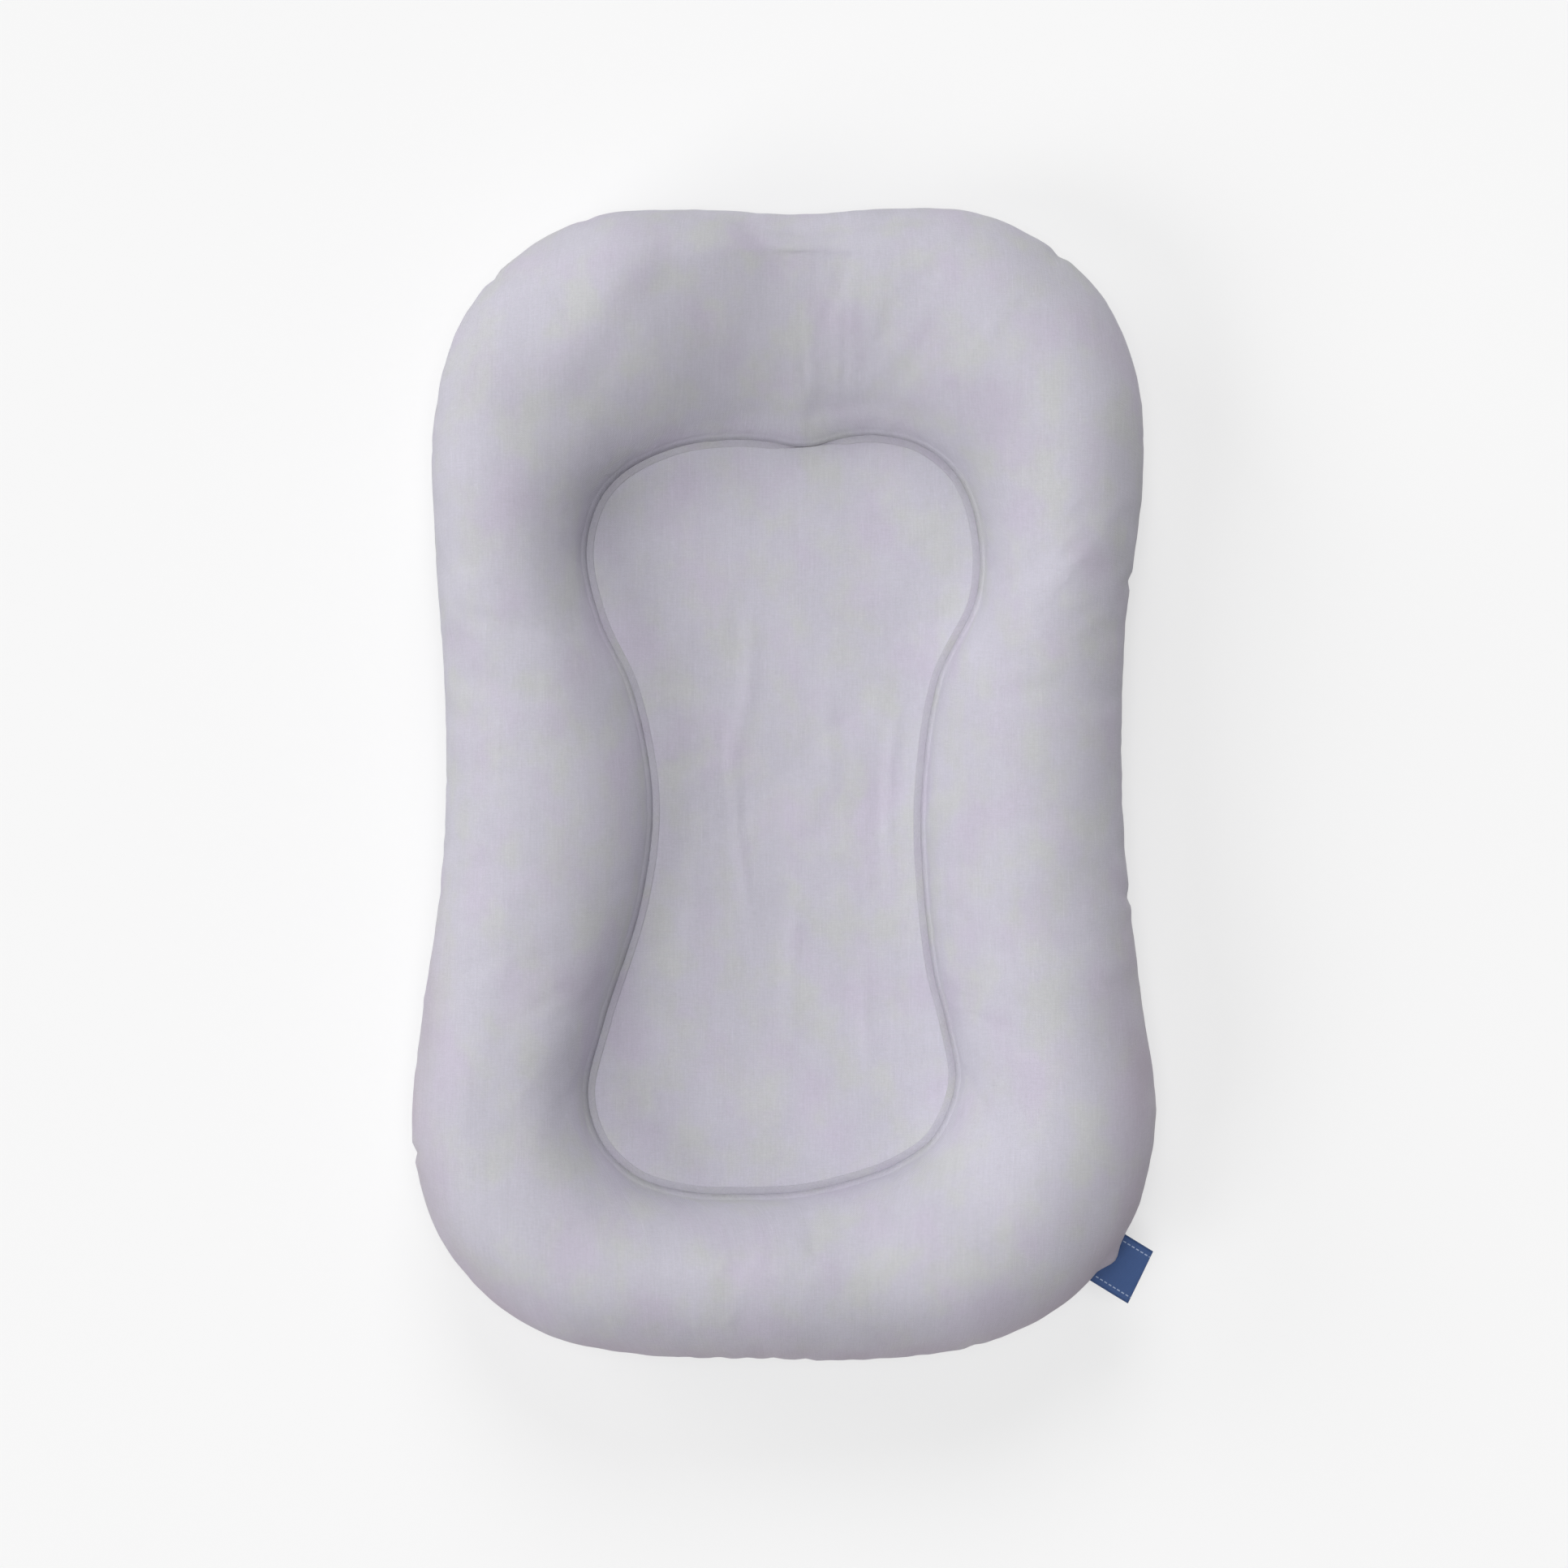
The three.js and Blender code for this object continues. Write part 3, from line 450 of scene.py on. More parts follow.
def settled(name, points, faces, held):
    """How far each point of a cloth moves when it is held at some points and lightly blown up."""
    mesh = bpy.data.meshes.new(name)
    uneven = np.random.default_rng(21).normal(0, START_UNEVEN, (len(points), 1))
    mesh.from_pydata((points + uneven * [0, 0, 1]).tolist(), [], faces)
    piece = put(name, mesh)
    piece.vertex_groups.new(name="held").add(held, 1, "REPLACE")
    cloth = piece.modifiers.new("cloth", "CLOTH")
    cloth.settings.vertex_group_mass = "held"
    cloth.settings.quality, cloth.settings.mass = 6, 0.2
    cloth.settings.tension_stiffness = cloth.settings.compression_stiffness = STRETCH
    cloth.settings.shear_stiffness, cloth.settings.bending_stiffness = SHEAR, BEND
    cloth.settings.use_pressure, cloth.settings.uniform_pressure_force = True, PRESSURE
    cloth.settings.shrink_min = cloth.settings.shrink_max = -SLACK
    cloth.settings.effector_weights.gravity = 0
    cloth.point_cache.frame_start, cloth.point_cache.frame_end = 1, CLOTH_FRAMES
    for number in range(1, CLOTH_FRAMES + 1):
        bpy.context.scene.frame_set(number)
    result = piece.evaluated_get(bpy.context.evaluated_depsgraph_get()).data
    moved = np.empty(len(points) * 3)
    result.vertices.foreach_get("co", moved)
    bpy.context.scene.frame_set(1)
    bpy.data.objects.remove(piece)
    return moved.reshape(-1, 3) - points


# %% [markdown]
# What the simulation gives is mostly the swelling. Taking a strongly softened copy away leaves only the folds,
# and these are then spread from the coarse cloth to the finer points of the bolster's top.


# %% Folds of the bolster
def blurred(grid, rows, columns):
    """A grid of values, softened over the given numbers of rows and of columns that run round."""
    for _ in range(columns):
        grid = (np.roll(grid, 1, axis=1) + 2 * grid + np.roll(grid, -1, axis=1)) / 4
    for _ in range(rows):
        padded = np.concatenate([grid[:1], grid, grid[-1:]])
        grid = (padded[:-2] + 2 * grid + padded[2:]) / 4
    return grid


def near_average(spots, values, points, size):
    """At each point, the average of the values of the spots around it."""
    found = []
    for part in np.array_split(points, 12):
        far = ((part[:, None, :2] - spots[None, :, :2]) ** 2).sum(axis=2)
        weight = np.exp(-far / (2 * size**2))
        found.append(weight @ values / weight.sum(axis=1))
    return np.concatenate(found)


def bolster_folds():
    """Heights of the simulated folds at the points of the bolster's top."""
    places = np.linspace(0, top_length, 40)
    grid = over_bolster(rows_for(over_bolster, TOP_TURNS_ALL, places))[:, ::2]
    rows, columns = grid.shape[:2]
    held = list(range(columns)) + list(range((rows - 1) * columns, rows * columns))
    moved = settled("bolster cloth", grid.reshape(-1, 3), grid_faces(rows, columns).tolist(), held)
    rise = np.einsum("ijk,ijk->ij", moved.reshape(grid.shape), grid_normals(grid))
    folds = np.clip(rise - blurred(rise, 12, 14), -FOLD_LIMIT, FOLD_LIMIT)
    wide = np.empty((rows, COLUMNS))
    wide[:, ::2], wide[:, 1::2] = folds, (folds + np.roll(folds, -1, axis=1)) / 2
    fine = np.stack([np.interp(TOP_PLACES % top_length, places, wide[:, k]) for k in range(COLUMNS)], axis=1)
    return blurred(fine, 1, 1)


simulated = bolster_folds()
print("simulated folds, mean size in mm", round(float(np.abs(simulated).mean() * 1000), 2))

# %% [markdown]
# These are the forms that the photograph shows on the bolster, measured from it. The tag is sewn in at one
# corner, and the cloth rises over it as a small lip and is pulled into folds beside it.

# %% Forms seen on the bolster
TAG_SHARE = 0.861  # how far round the edge seam the tag's middle is
FOLD_SHARE = 0.3  # how much of the simulated folds the tight cover keeps
SEAM_DIP, SEAM_DIP_WIDTH = 0.0022, 0.003
# Faint pleats on the head end: where each starts and ends, its height, half width and bow
PLEATS = [
    ((0.044, 0.345), (0.046, 0.240), 0.0004, 0.0026, 0.002),
    ((0.053, 0.330), (0.056, 0.250), 0.0005, 0.0024, -0.002),
    ((0.062, 0.340), (0.066, 0.245), 0.0004, 0.0026, 0.003),
    ((0.071, 0.325), (0.074, 0.255), 0.0005, 0.0022, -0.001),
    ((0.080, 0.320), (0.083, 0.262), 0.0003, 0.0028, 0.002),
    ((0.018, 0.300), (0.022, 0.240), 0.0004, 0.0030, 0.001),
    ((0.034, 0.310), (0.035, 0.236), 0.0004, 0.0028, -0.002),
]
# The left lobe of the head end falls into the hollow beside it: a line, its height, half width, back and bow
LOBE_ROLL = ((-0.150, 0.236), (-0.070, 0.350), 0.0036, 0.017, 0.050, 0.004)
# Hollows across the bolster: the middle, the reach to the left, right and lengthwise, and the depth
HOLLOWS = [
    ((0.014, 0.300), 0.064, 0.075, 0.085, 0.015),
    ((-0.150, 0.262), 0.030, 0.040, 0.050, 0.004),
    ((0.060, -0.320), 0.060, 0.045, 0.060, 0.004),
]
# Small nips in the outline, as they lie round the edge: place, height, half width and reach
NIPS = [
    (-0.2386, -0.237, -0.0016, 0.0040, 0.022), (0.1754, 0.3393, -0.0012, 0.0050, 0.020),
    (0.2224, 0.1315, -0.0012, 0.0045, 0.018), (0.2198, -0.0726, -0.0012, 0.0045, 0.018),
    (-0.1258, 0.3607, -0.0010, 0.0050, 0.020), (-0.1858, 0.3242, -0.0011, 0.0045, 0.020),
    (-0.0600, -0.360, -0.0009, 0.0040, 0.014), (-0.0420, -0.360, -0.0011, 0.0035, 0.012),
    (-0.0240, -0.360, -0.0008, 0.0040, 0.016), (-0.0060, -0.362, -0.0012, 0.0035, 0.013),
    (0.0130, -0.362, -0.0009, 0.0040, 0.015), (0.1200, -0.355, -0.0008, 0.0050, 0.018),
]  # fmt: skip
# The tag's lip, as a rise with a trough behind it: height, half width along the seam, place and reach from it
TAG_LIP = [(0.0042, 0.0085, 0.0055, 0.0052), (-0.0016, 0.013, 0.018, 0.0065)]
# Folds that run away from the tag's corners: where each starts beside the tag's middle, and its height
TAG_FOLDS = [(-0.016, -0.0006), (0.017, -0.0006), (0.030, 0.0003)]
TAG_FOLD_LEAN, TAG_FOLD_WIDTH, TAG_FOLD_REACH = 0.35, 0.0042, 0.028
print(len(PLEATS), "pleats,", len(HOLLOWS), "hollows and", len(NIPS), "nips")

# %% [markdown]
# All heights are added up, and the surface is moved along its own outward directions. Lumps and hollows die
# away at both seams, where the cloth is held, and puckers start there.


# %% Cloth of the bolster's top
def tag_lip(beside, away):
    """The cloth's rise over the tag, and the folds that it pulls."""
    total = 0
    for height, width, place, reach in TAG_LIP:
        total = total + height * bell(beside, width) * bell(away - place, reach)
    for shift, height in TAG_FOLDS:
        fold = bell(beside - shift - TAG_FOLD_LEAN * away, TAG_FOLD_WIDTH)
        total = total + height * fold * bell(away, TAG_FOLD_REACH) * off_seam(away, NIP_START)
    return total


top_run = rows_run(top_designed)
from_edge, from_centre = top_run, top_run[-1] - top_run
from_seams = np.minimum(from_edge, from_centre)
calm_at_seams = smooth_step(from_seams, 0.002, 0.03)
top_height = lumps(top_designed, seed=3) * calm_at_seams
top_height += puckers(
    edge_run[:-1], from_edge, EDGE_LENGTH, seed=11,
    spacing=(0.010, 0.036), height=(0.0001, 0.0007), reach=(0.012, 0.034), width=(0.0028, 0.0055),
)  # fmt: skip
top_height += puckers(
    centre_run[:-1], from_centre, CENTRE_LENGTH, seed=12,
    spacing=(0.012, 0.04), height=(0.0002, 0.0007), reach=(0.008, 0.022), width=(0.0025, 0.005),
)  # fmt: skip
top_height += simulated * FOLD_SHARE * smooth_step(from_seams, 0.001, 0.014)
top_height += nips(NIPS, edge_run[:-1], from_edge)
for pleat in PLEATS:
    top_height += ridge(top_designed[..., :2], *pleat)
top_height += lobe(top_designed[..., :2], *LOBE_ROLL) * calm_at_seams
for numbers in HOLLOWS:
    top_height += hollow(top_designed, *numbers) * calm_at_seams
top_height -= SEAM_DIP * bell(from_edge, SEAM_DIP_WIDTH)
tag_place = seam_at(EDGE_SHARES, [TAG_SHARE])[0]
top_height += tag_lip(shorter_way(edge_run[:-1] - edge_run_at(tag_place), EDGE_LENGTH), from_edge)
top_surface = top_designed + grid_normals(top_designed) * top_height[..., None]
print("folds between", round(top_height.min() * 1000, 2), "and", round(top_height.max() * 1000, 2), "mm")

# %% [markdown]
# The centre panel is one flat-cut piece, gently dished over its pad. A grid would crowd its points in the
# middle, so it is filled with even triangles. A point's height follows from how far inwards it lies, from the
# seam (0) to a line down the middle (1).

# %% Filling a loop with triangles
SPINE_SHARE = 0.55  # how much of its length the panel's rings keep where they close on the middle line


def reach_share(points, loop):
    """How far out each point is from the origin, as a share of the loop's distance the same way."""
    angle = np.arctan2(loop[:, 1], loop[:, 0])
    order = np.argsort(angle)
    angle, distance = angle[order], np.linalg.norm(loop[order], axis=1)
    around = np.concatenate([angle[-1:] - 2 * math.pi, angle, angle[:1] + 2 * math.pi])
    distance = np.concatenate([distance[-1:], distance, distance[:1]])
    own = np.arctan2(points[:, 1], points[:, 0])
    return np.linalg.norm(points, axis=1) / np.interp(own, around, distance)


def fill_loop(loop, rings, spacing):
    """Even points and triangles inside a loop, with rings of points close to it. The loop comes first."""
    away = outward(loop)
    layers = [loop] + [loop - away * distance for distance in rings]
    low, high = loop.min(axis=0), loop.max(axis=0)
    rows = np.arange(low[1], high[1], spacing * math.sqrt(3) / 2)
    columns = np.arange(low[0], high[0], spacing)
    lattice = np.array([(x + spacing / 2 * (k % 2), y) for k, y in enumerate(rows) for x in columns])
    margin = (rings[-1] if len(rings) else 0) + spacing * 0.6
    kept = lattice[reach_share(lattice, loop - away * margin) < 1]
    points = np.vstack(layers + [kept])
    border = list(range(len(loop)))
    result = delaunay_2d_cdt(points.tolist(), [], [border], 1, 1e-9)
    assert len(result[0]) == len(points), "the filling gained or lost points"
    return points, np.array(result[2])


def inward_share(points):
    """0 at the centre seam and 1 on the line down the middle that the panel's rings close towards."""
    low, high = np.zeros(len(points)), np.full(len(points), 0.9999)
    for _ in range(24):
        half = (low + high) / 2
        on_ring = points / np.stack([1 - half, 1 - (1 - SPINE_SHARE) * half], axis=1)
        inside = reach_share(on_ring, CENTRE) < 1
        low, high = np.where(inside, half, low), np.where(inside, high, half)
    return (low + high) / 2


def beside_centre_seam(points):
    """How far along the centre seam each point is, and how far from it."""
    tree = KDTree(COLUMNS)
    for i, (x, y) in enumerate(CENTRE):
        tree.insert((x, y, 0), i)
    tree.balance()
    nearest = np.array([tree.find((x, y, 0))[1] for x, y in points])
    along = np.roll(CENTRE, -1, axis=0) - np.roll(CENTRE, 1, axis=0)
    along /= np.linalg.norm(along, axis=1)[:, None]
    offset = points - CENTRE[nearest]
    run = centre_run[nearest] + np.einsum("ij,ij->i", offset, along[nearest])
    return run, np.abs(np.einsum("ij,ij->i", offset, CENTRE_OUT[nearest]))


# %% [markdown]
# The panel is sewn at its edge and presses on a soft pad, so it sags a little, and long soft ridges run down
# it. The ridges of the photograph are placed one by one, and the simulation and the lumps add the finer ones.

# %% Ridges and folds of the centre panel
CENTRE_SAG = 0.0058  # how deep the panel is dished
RIM_DROP, RIM_REACH = 0.0010, 0.006  # how far it drops beside the piping, and within what distance
RIDGE_SHARE, PANEL_FOLD_SHARE = 1.7, 0.8
# Long soft ridges down the panel: where each starts and ends, its height, half width and bow
RIDGES = [
    ((-0.034, 0.052), (-0.020, -0.093), 0.0008, 0.0040, 0.004),
    ((-0.0365, 0.034), (-0.0335, -0.020), 0.0004, 0.0018, 0.0006),
    ((-0.0290, 0.010), (-0.0315, -0.034), 0.0003, 0.0020, -0.0006),
    ((-0.022, 0.118), (-0.030, 0.020), 0.0007, 0.0050, -0.003),
    ((0.074, 0.050), (0.070, -0.060), 0.0008, 0.0045, 0.004),
    ((0.030, 0.090), (0.040, -0.030), 0.0004, 0.0060, 0.006),
    ((-0.058, -0.020), (-0.066, -0.120), 0.0006, 0.0050, -0.004),
    ((0.012, -0.060), (0.004, -0.170), 0.0005, 0.0055, 0.003),
    ((0.052, -0.110), (0.060, -0.190), 0.0005, 0.0050, 0.004),
    ((-0.080, 0.150), (-0.060, 0.070), 0.0005, 0.0060, 0.003),
]


def dished(inward):
    """The plain height of the panel, from its seam to its middle line."""
    return CENTRE_SEAM_HEIGHT - CENTRE_SAG * inward * (2 - inward)


def settled_panel():
    """Points of the panel's plan and the heights of the simulated folds there."""
    plan, faces = fill_loop(CENTRE[::2], rings=[0.003], spacing=0.006)
    start = lifted(plan, dished(inward_share(plan)))
    moved = settled("panel cloth", start, faces.tolist(), list(range(COLUMNS // 2)))[:, 2]
    folds = np.clip(moved - near_average(plan, moved, plan, 0.018), -FOLD_LIMIT, FOLD_LIMIT)
    return plan, folds * smooth_step(beside_centre_seam(plan)[1], 0, 0.012)


FOLD_PLAN, FOLD_HEIGHTS = settled_panel()
print("simulated folds, mean size in mm", round(float(np.abs(FOLD_HEIGHTS).mean() * 1000), 2))

# %% [markdown]
# One function gives the panel's height at any point, because the lining and the pad below it need the same
# shape later. The finished panel has rings of points close to its seam, where it drops beside the piping.


# %% Cloth of the centre panel
def panel_height(plan):
    """The height of the centre panel's cloth over points of its plan, and how far each is from its edge."""
    along, away = beside_centre_seam(plan)
    away = np.maximum(away - PIPING_ROOM, 0)
    plain = dished(inward_share(plan)) - RIM_DROP * off_seam(away, RIM_REACH)
    fold = RIDGE_SHARE * sum(ridge(plan, *values) for values in RIDGES)
    fold += lumps(lifted(plan, plain), seed=5, count=240, size=(0.008, 0.02), height=0.00045)
    fold += PANEL_FOLD_SHARE * FOLD_SHARE * near_average(FOLD_PLAN, FOLD_HEIGHTS, plan, 0.0035)
    fold *= smooth_step(away, 0.001, 0.02)
    fold += puckers(
        along, away, CENTRE_LENGTH, seed=13,
        spacing=(0.014, 0.05), height=(0.0002, 0.0008), reach=(0.010, 0.028), width=(0.0026, 0.005),
    )  # fmt: skip
    return plain + fold, away


panel_edge = CENTRE - CENTRE_OUT * SEAM_GAP[:, None]
panel_plan, panel_faces = fill_loop(panel_edge, rings=[0.0008, 0.0018, 0.0031, 0.0048], spacing=0.0024)
panel_surface = lifted(panel_plan, panel_height(panel_plan)[0])
print("centre panel", len(panel_plan), "points,", len(panel_faces), "triangles")

# %% [markdown]
# The underside lies flat on the floor under the bolster and is drawn up inside it. It is seen only when the
# lounger is turned over, so plain sections with puckers beside the edge seam are enough for it.

# %% Cloth of the underside
UNDER_RISE = 0.010  # how far the cloth is drawn up inside the ring
FLOOR_START_SHARE, FLOOR_END_SHARE = 0.36, 0.8  # where the bolster stands on the floor
UNDER_TURNS_ALL = np.full(COLUMNS, 3.0)


def under_bolster(turns, rise):
    """The cloth underneath: turn 0 is the edge seam, 1 and 2 the ends of its flat, 3 the centre seam."""
    down = np.clip(turns, 0, 1) * math.pi / 2
    high = EDGE_SEAM_HEIGHT - PLY_GAP / 2
    flat = FLOOR_START_SHARE + (FLOOR_END_SHARE - FLOOR_START_SHARE) * np.clip(turns - 1, 0, 1)
    last = (1 - FLOOR_END_SHARE) * np.clip(turns - 2, 0, 1)
    share = np.where(turns <= 1, FLOOR_START_SHARE * (1 - np.cos(down)), flat + last)
    height = np.where(turns <= 1, high * (1 - np.sin(down)), rise * smooth_step(turns, 2, 3))
    return lifted(EDGE + share[..., None] * ACROSS, height)


def cover_under(turns):
    return under_bolster(turns, UNDER_RISE)


under_length = mean_section(cover_under, UNDER_TURNS_ALL)[1][-1]
under_places = np.concatenate([SEAM_ROWS, np.linspace(FIRST_PLAIN_ROW, under_length, 34)])
UNDER_TURNS = rows_for(cover_under, UNDER_TURNS_ALL, under_places)
IN_THE_AIR = 1 - smooth_step(UNDER_TURNS, 0.75, 1)  # 1 beside the edge seam and 0 where the cloth is flat
under_designed = cover_under(UNDER_TURNS)
under_run = rows_run(under_designed)
under_normals = -grid_normals(under_designed)
under_height = lumps(under_designed, seed=3) * smooth_step(under_run, 0.002, 0.03)
under_height += puckers(
    edge_run[:-1], under_run, EDGE_LENGTH, seed=14,
    spacing=(0.008, 0.024), height=(0.0005, 0.0015), reach=(0.012, 0.03), width=(0.0028, 0.0055),
)  # fmt: skip
under_height += nips(NIPS, edge_run[:-1], under_run)
under_height *= IN_THE_AIR
under_height -= SEAM_DIP * bell(under_run, SEAM_DIP_WIDTH)
under_surface = under_designed + under_normals * under_height[..., None]
under_surface[..., 2] = np.maximum(under_surface[..., 2], 0)
print("underside", under_surface.shape, "section", round(under_length, 3), "m")

# %% [markdown]
# Every piece of cloth is a closed skin with its true thickness. Solidify could give it that, but here the inner
# side is made point by point, so that the skin stays closed where its edges are sewn. Its pattern lies in a UV
# map named cloth, in metres and unrolled from the crown, so that the weave keeps its scale down the slopes.


# %% Skins of cloth
def face_normals(points, faces):
    """Directions out of faces of three or four corners, as long as twice each face's area."""
    a, b, c = (points[faces[:, k]] for k in (0, 1, 2))
    if faces.shape[1] == 4:
        return np.cross(c - a, points[faces[:, 3]] - b)
    return np.cross(b - a, c - a)


def point_normals(points, face_groups):
    """Directions out of a surface at its points, each face counting by its area."""
    total = np.zeros_like(points)
    for faces in face_groups:
        normals = face_normals(points, faces)
        for corner in range(faces.shape[1]):
            np.add.at(total, faces[:, corner], normals)
    return total / np.maximum(np.linalg.norm(total, axis=1), 1e-12)[:, None]


def open_edges(face_groups, count):
    """Directed edges that only one face has."""
    edges = np.vstack([np.stack([f, np.roll(f, -1, axis=1)], axis=-1).reshape(-1, 2) for f in face_groups])
    keys, back = edges[:, 0] * count + edges[:, 1], edges[:, 1] * count + edges[:, 0]
    return edges[~np.isin(keys, back)]


def thicken(points, face_groups, thickness):
    """A closed skin: the surface, a copy of it inside, and a rim along its open edges."""
    inside = points - point_normals(points, face_groups) * thickness
    count = len(points)
    rim = open_edges(face_groups, count)
    sides = np.stack([rim[:, 1], rim[:, 0], rim[:, 0] + count, rim[:, 1] + count], axis=1)
    groups = [sides]
    for faces in face_groups:
        groups += [faces, faces[:, ::-1] + count]
    return np.vstack([points, inside]), groups


# %% [markdown]
# A finished piece rides with one of the model's three bodies and takes the place of its plain solid. All cloth
# belongs to the lounger's body. Only the zip's slider and its pull move.


# %% Pieces of the lounger
def join_lounger(piece, nodes):
    """Sets a finished piece in the place of its solids."""
    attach(piece, "lounger")
    if nodes:
        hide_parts(*nodes)


def add_piece(name, points, face_groups, nodes, cloth=None):
    """A smooth mesh of the lounger. cloth holds the place of each point on the flat cloth, in metres."""
    mesh = bpy.data.meshes.new(name)
    mesh.from_pydata(points.tolist(), [], [face for faces in face_groups for face in faces.tolist()])
    if cloth is not None:
        corners = np.empty(len(mesh.loops), int)
        mesh.loops.foreach_get("vertex_index", corners)
        layer = mesh.uv_layers.new(name="cloth")
        layer.data.foreach_set("uv", cloth[corners].astype(np.float32).ravel())
    mesh.polygons.foreach_set("use_smooth", [True] * len(mesh.polygons))
    mesh.update()
    piece = put(name, mesh)
    join_lounger(piece, nodes)
    print(name, sum(len(polygon.vertices) - 2 for polygon in mesh.polygons), "triangles")
    return piece


def add_skin(name, points, face_groups, thickness, cloth, nodes):
    """A piece of cloth, whose two sides lie at the same place on the flat cloth."""
    skin, groups = thicken(points.reshape(-1, 3), face_groups, thickness)
    return add_piece(name, skin, groups, nodes, cloth=np.vstack([cloth.reshape(-1, 2)] * 2))


def unrolled(start, run, zero_row):
    """Places on the flat cloth: the plan of one row, and from there the way along each section."""
    way = ACROSS / np.linalg.norm(ACROSS, axis=1)[:, None]
    return start + (run - run[zero_row])[..., None] * way


COVER_CLOTH = 0.0012
crown_row = int(np.argmin(np.abs(TOP_TURNS.mean(axis=1) - 1)))
top_cloth = unrolled(top_designed[crown_row, :, :2], top_run, crown_row)
top_faces = grid_faces(len(top_surface), COLUMNS)
cover_top = add_skin("cover_top", top_surface, [top_faces], COVER_CLOTH, top_cloth, ["cover_top_bolster"])
cover_panel = add_skin(
    "cover_panel", panel_surface, [panel_faces], COVER_CLOTH, panel_plan, ["cover_centre_panel"]
)

# %% [markdown]
# The underside is cut in two halves. The zip joins them in the middle, and a plain seam beyond the zip's ends.
# The cloth is first made whole, and then cut with planes like real cloth, so that both halves keep one
# surface and one weave. Between the cuts a window is left open for the zip.

# %% Halves of the underside
WINDOW_HALF, WINDOW_FOOT, WINDOW_HEAD = 0.0061, -0.2435, 0.20383
CUTS = [
    ((0, WINDOW_FOOT, 0), (0, 1, 0)), ((0, WINDOW_HEAD, 0), (0, 1, 0)),
    ((WINDOW_HALF, 0, 0), (1, 0, 0)), ((-WINDOW_HALF, 0, 0), (1, 0, 0)),
]  # fmt: skip
SNAP_REACH = 0.0013  # points this close to a cut move onto it, so that it leaves no slivers
NEAR_WINDOW, IN_WINDOW = 0.02, 0.012  # points this close to the middle move sideways, and these lengthwise
SAGS = 160  # small hollows in the loose cloth inside the ring
SIDES = ((-1, "left"), (1, "right"))


def snapped(values, lines):
    """Values moved onto any of the lines that they lie very close to."""
    for line in lines:
        values = np.where(np.abs(values - line) < SNAP_REACH, line, values)
    return values


def whole_underside():
    """Points, faces and places on the flat cloth of the underside in one piece."""
    flat_plan, flat_faces = fill_loop(CENTRE, rings=[], spacing=0.005)
    rng = np.random.default_rng(21)
    centres = np.column_stack([rng.uniform(-0.12, 0.12, SAGS), rng.uniform(-0.26, 0.22, SAGS)])
    sag = bump_field(flat_plan, centres, rng.uniform(0.006, 0.016, SAGS), rng.normal(0, 0.0003, SAGS))
    _, away = beside_centre_seam(flat_plan)
    sag *= smooth_step(away, 0.002, 0.02) * smooth_step(np.abs(flat_plan[:, 0]), 0.016, 0.03)
    flat = np.column_stack([flat_plan, UNDER_RISE + sag])
    floor_row = int(np.argmin(np.abs(UNDER_TURNS[:, 0] - 1)))
    grid_cloth = unrolled(under_designed[floor_row, :, :2], under_run, floor_row)
    points = np.vstack([under_surface.reshape(-1, 3), flat[COLUMNS:]])
    beside = np.abs(points[:, 0]) < NEAR_WINDOW
    points[beside, 0] = snapped(points[beside, 0], (0, WINDOW_HALF, -WINDOW_HALF))
    beside &= np.abs(points[:, 0]) < IN_WINDOW
    points[beside, 1] = snapped(points[beside, 1], (WINDOW_FOOT, WINDOW_HEAD))
    cloth = np.vstack([grid_cloth.reshape(-1, 2), flat_plan[COLUMNS:]])
    last = under_surface.shape[0] - 1
    groups = grid_faces(last + 1, COLUMNS), flat_faces + last * COLUMNS
    return points, [face for faces in groups for face in faces[:, ::-1].tolist()], cloth


print("zip's window", round(WINDOW_HEAD - WINDOW_FOOT, 3), "m long and", 2 * WINDOW_HALF, "m wide")

# %% [markdown]
# Planes cut the cloth along the window's four sides, only near the window, so that its other facets stay whole.
# Then each half is a copy with everything beyond the middle cut off.


# %% Cutting the underside
CUT_X, CUT_Y = 0.03, 0.27  # only facets inside these distances are cut


def cut_window(mesh):
    """Cuts a cloth along the window's four sides and takes the window out of it."""
    for at, way in CUTS:
        middles = [(face, face.calc_center_median()) for face in mesh.faces]
        near = [face for face, middle in middles if abs(middle.x) < CUT_X and abs(middle.y) < CUT_Y]
        edges = {edge for face in near for edge in face.edges}
        corners = {vertex for face in near for vertex in face.verts}
        geometry = near + list(edges) + list(corners)
        bmesh.ops.bisect_plane(mesh, geom=geometry, plane_co=at, plane_no=way, dist=1e-6)
    middles = [(face, face.calc_center_median()) for face in mesh.faces]
    gone = [face for face, at in middles if abs(at.x) < WINDOW_HALF and WINDOW_FOOT < at.y < WINDOW_HEAD]
    bmesh.ops.delete(mesh, geom=gone, context="FACES")


def half_of(mesh, side):
    """Points, faces and places on the flat cloth of one side of a cloth, parted down the middle."""
    part = mesh.copy()
    everything = part.verts[:] + part.edges[:] + part.faces[:]
    bmesh.ops.bisect_plane(
        part, geom=everything, plane_co=(side * PLY_GAP / 2, 0, 0), plane_no=(-side, 0, 0),
        clear_outer=True, dist=1e-7,
    )  # fmt: skip
    bmesh.ops.triangulate(part, faces=[f for f in part.faces if len(f.verts) > 4])
    part.verts.index_update()
    layer = part.verts.layers.float_vector["cloth"]
    spots = np.array([vertex.co[:] for vertex in part.verts])
    cloth = np.array([vertex[layer][:2] for vertex in part.verts])
    groups = [np.array([[v.index for v in f.verts] for f in part.faces if len(f.verts) == n]) for n in (4, 3)]
    part.free()
    return spots, groups, cloth


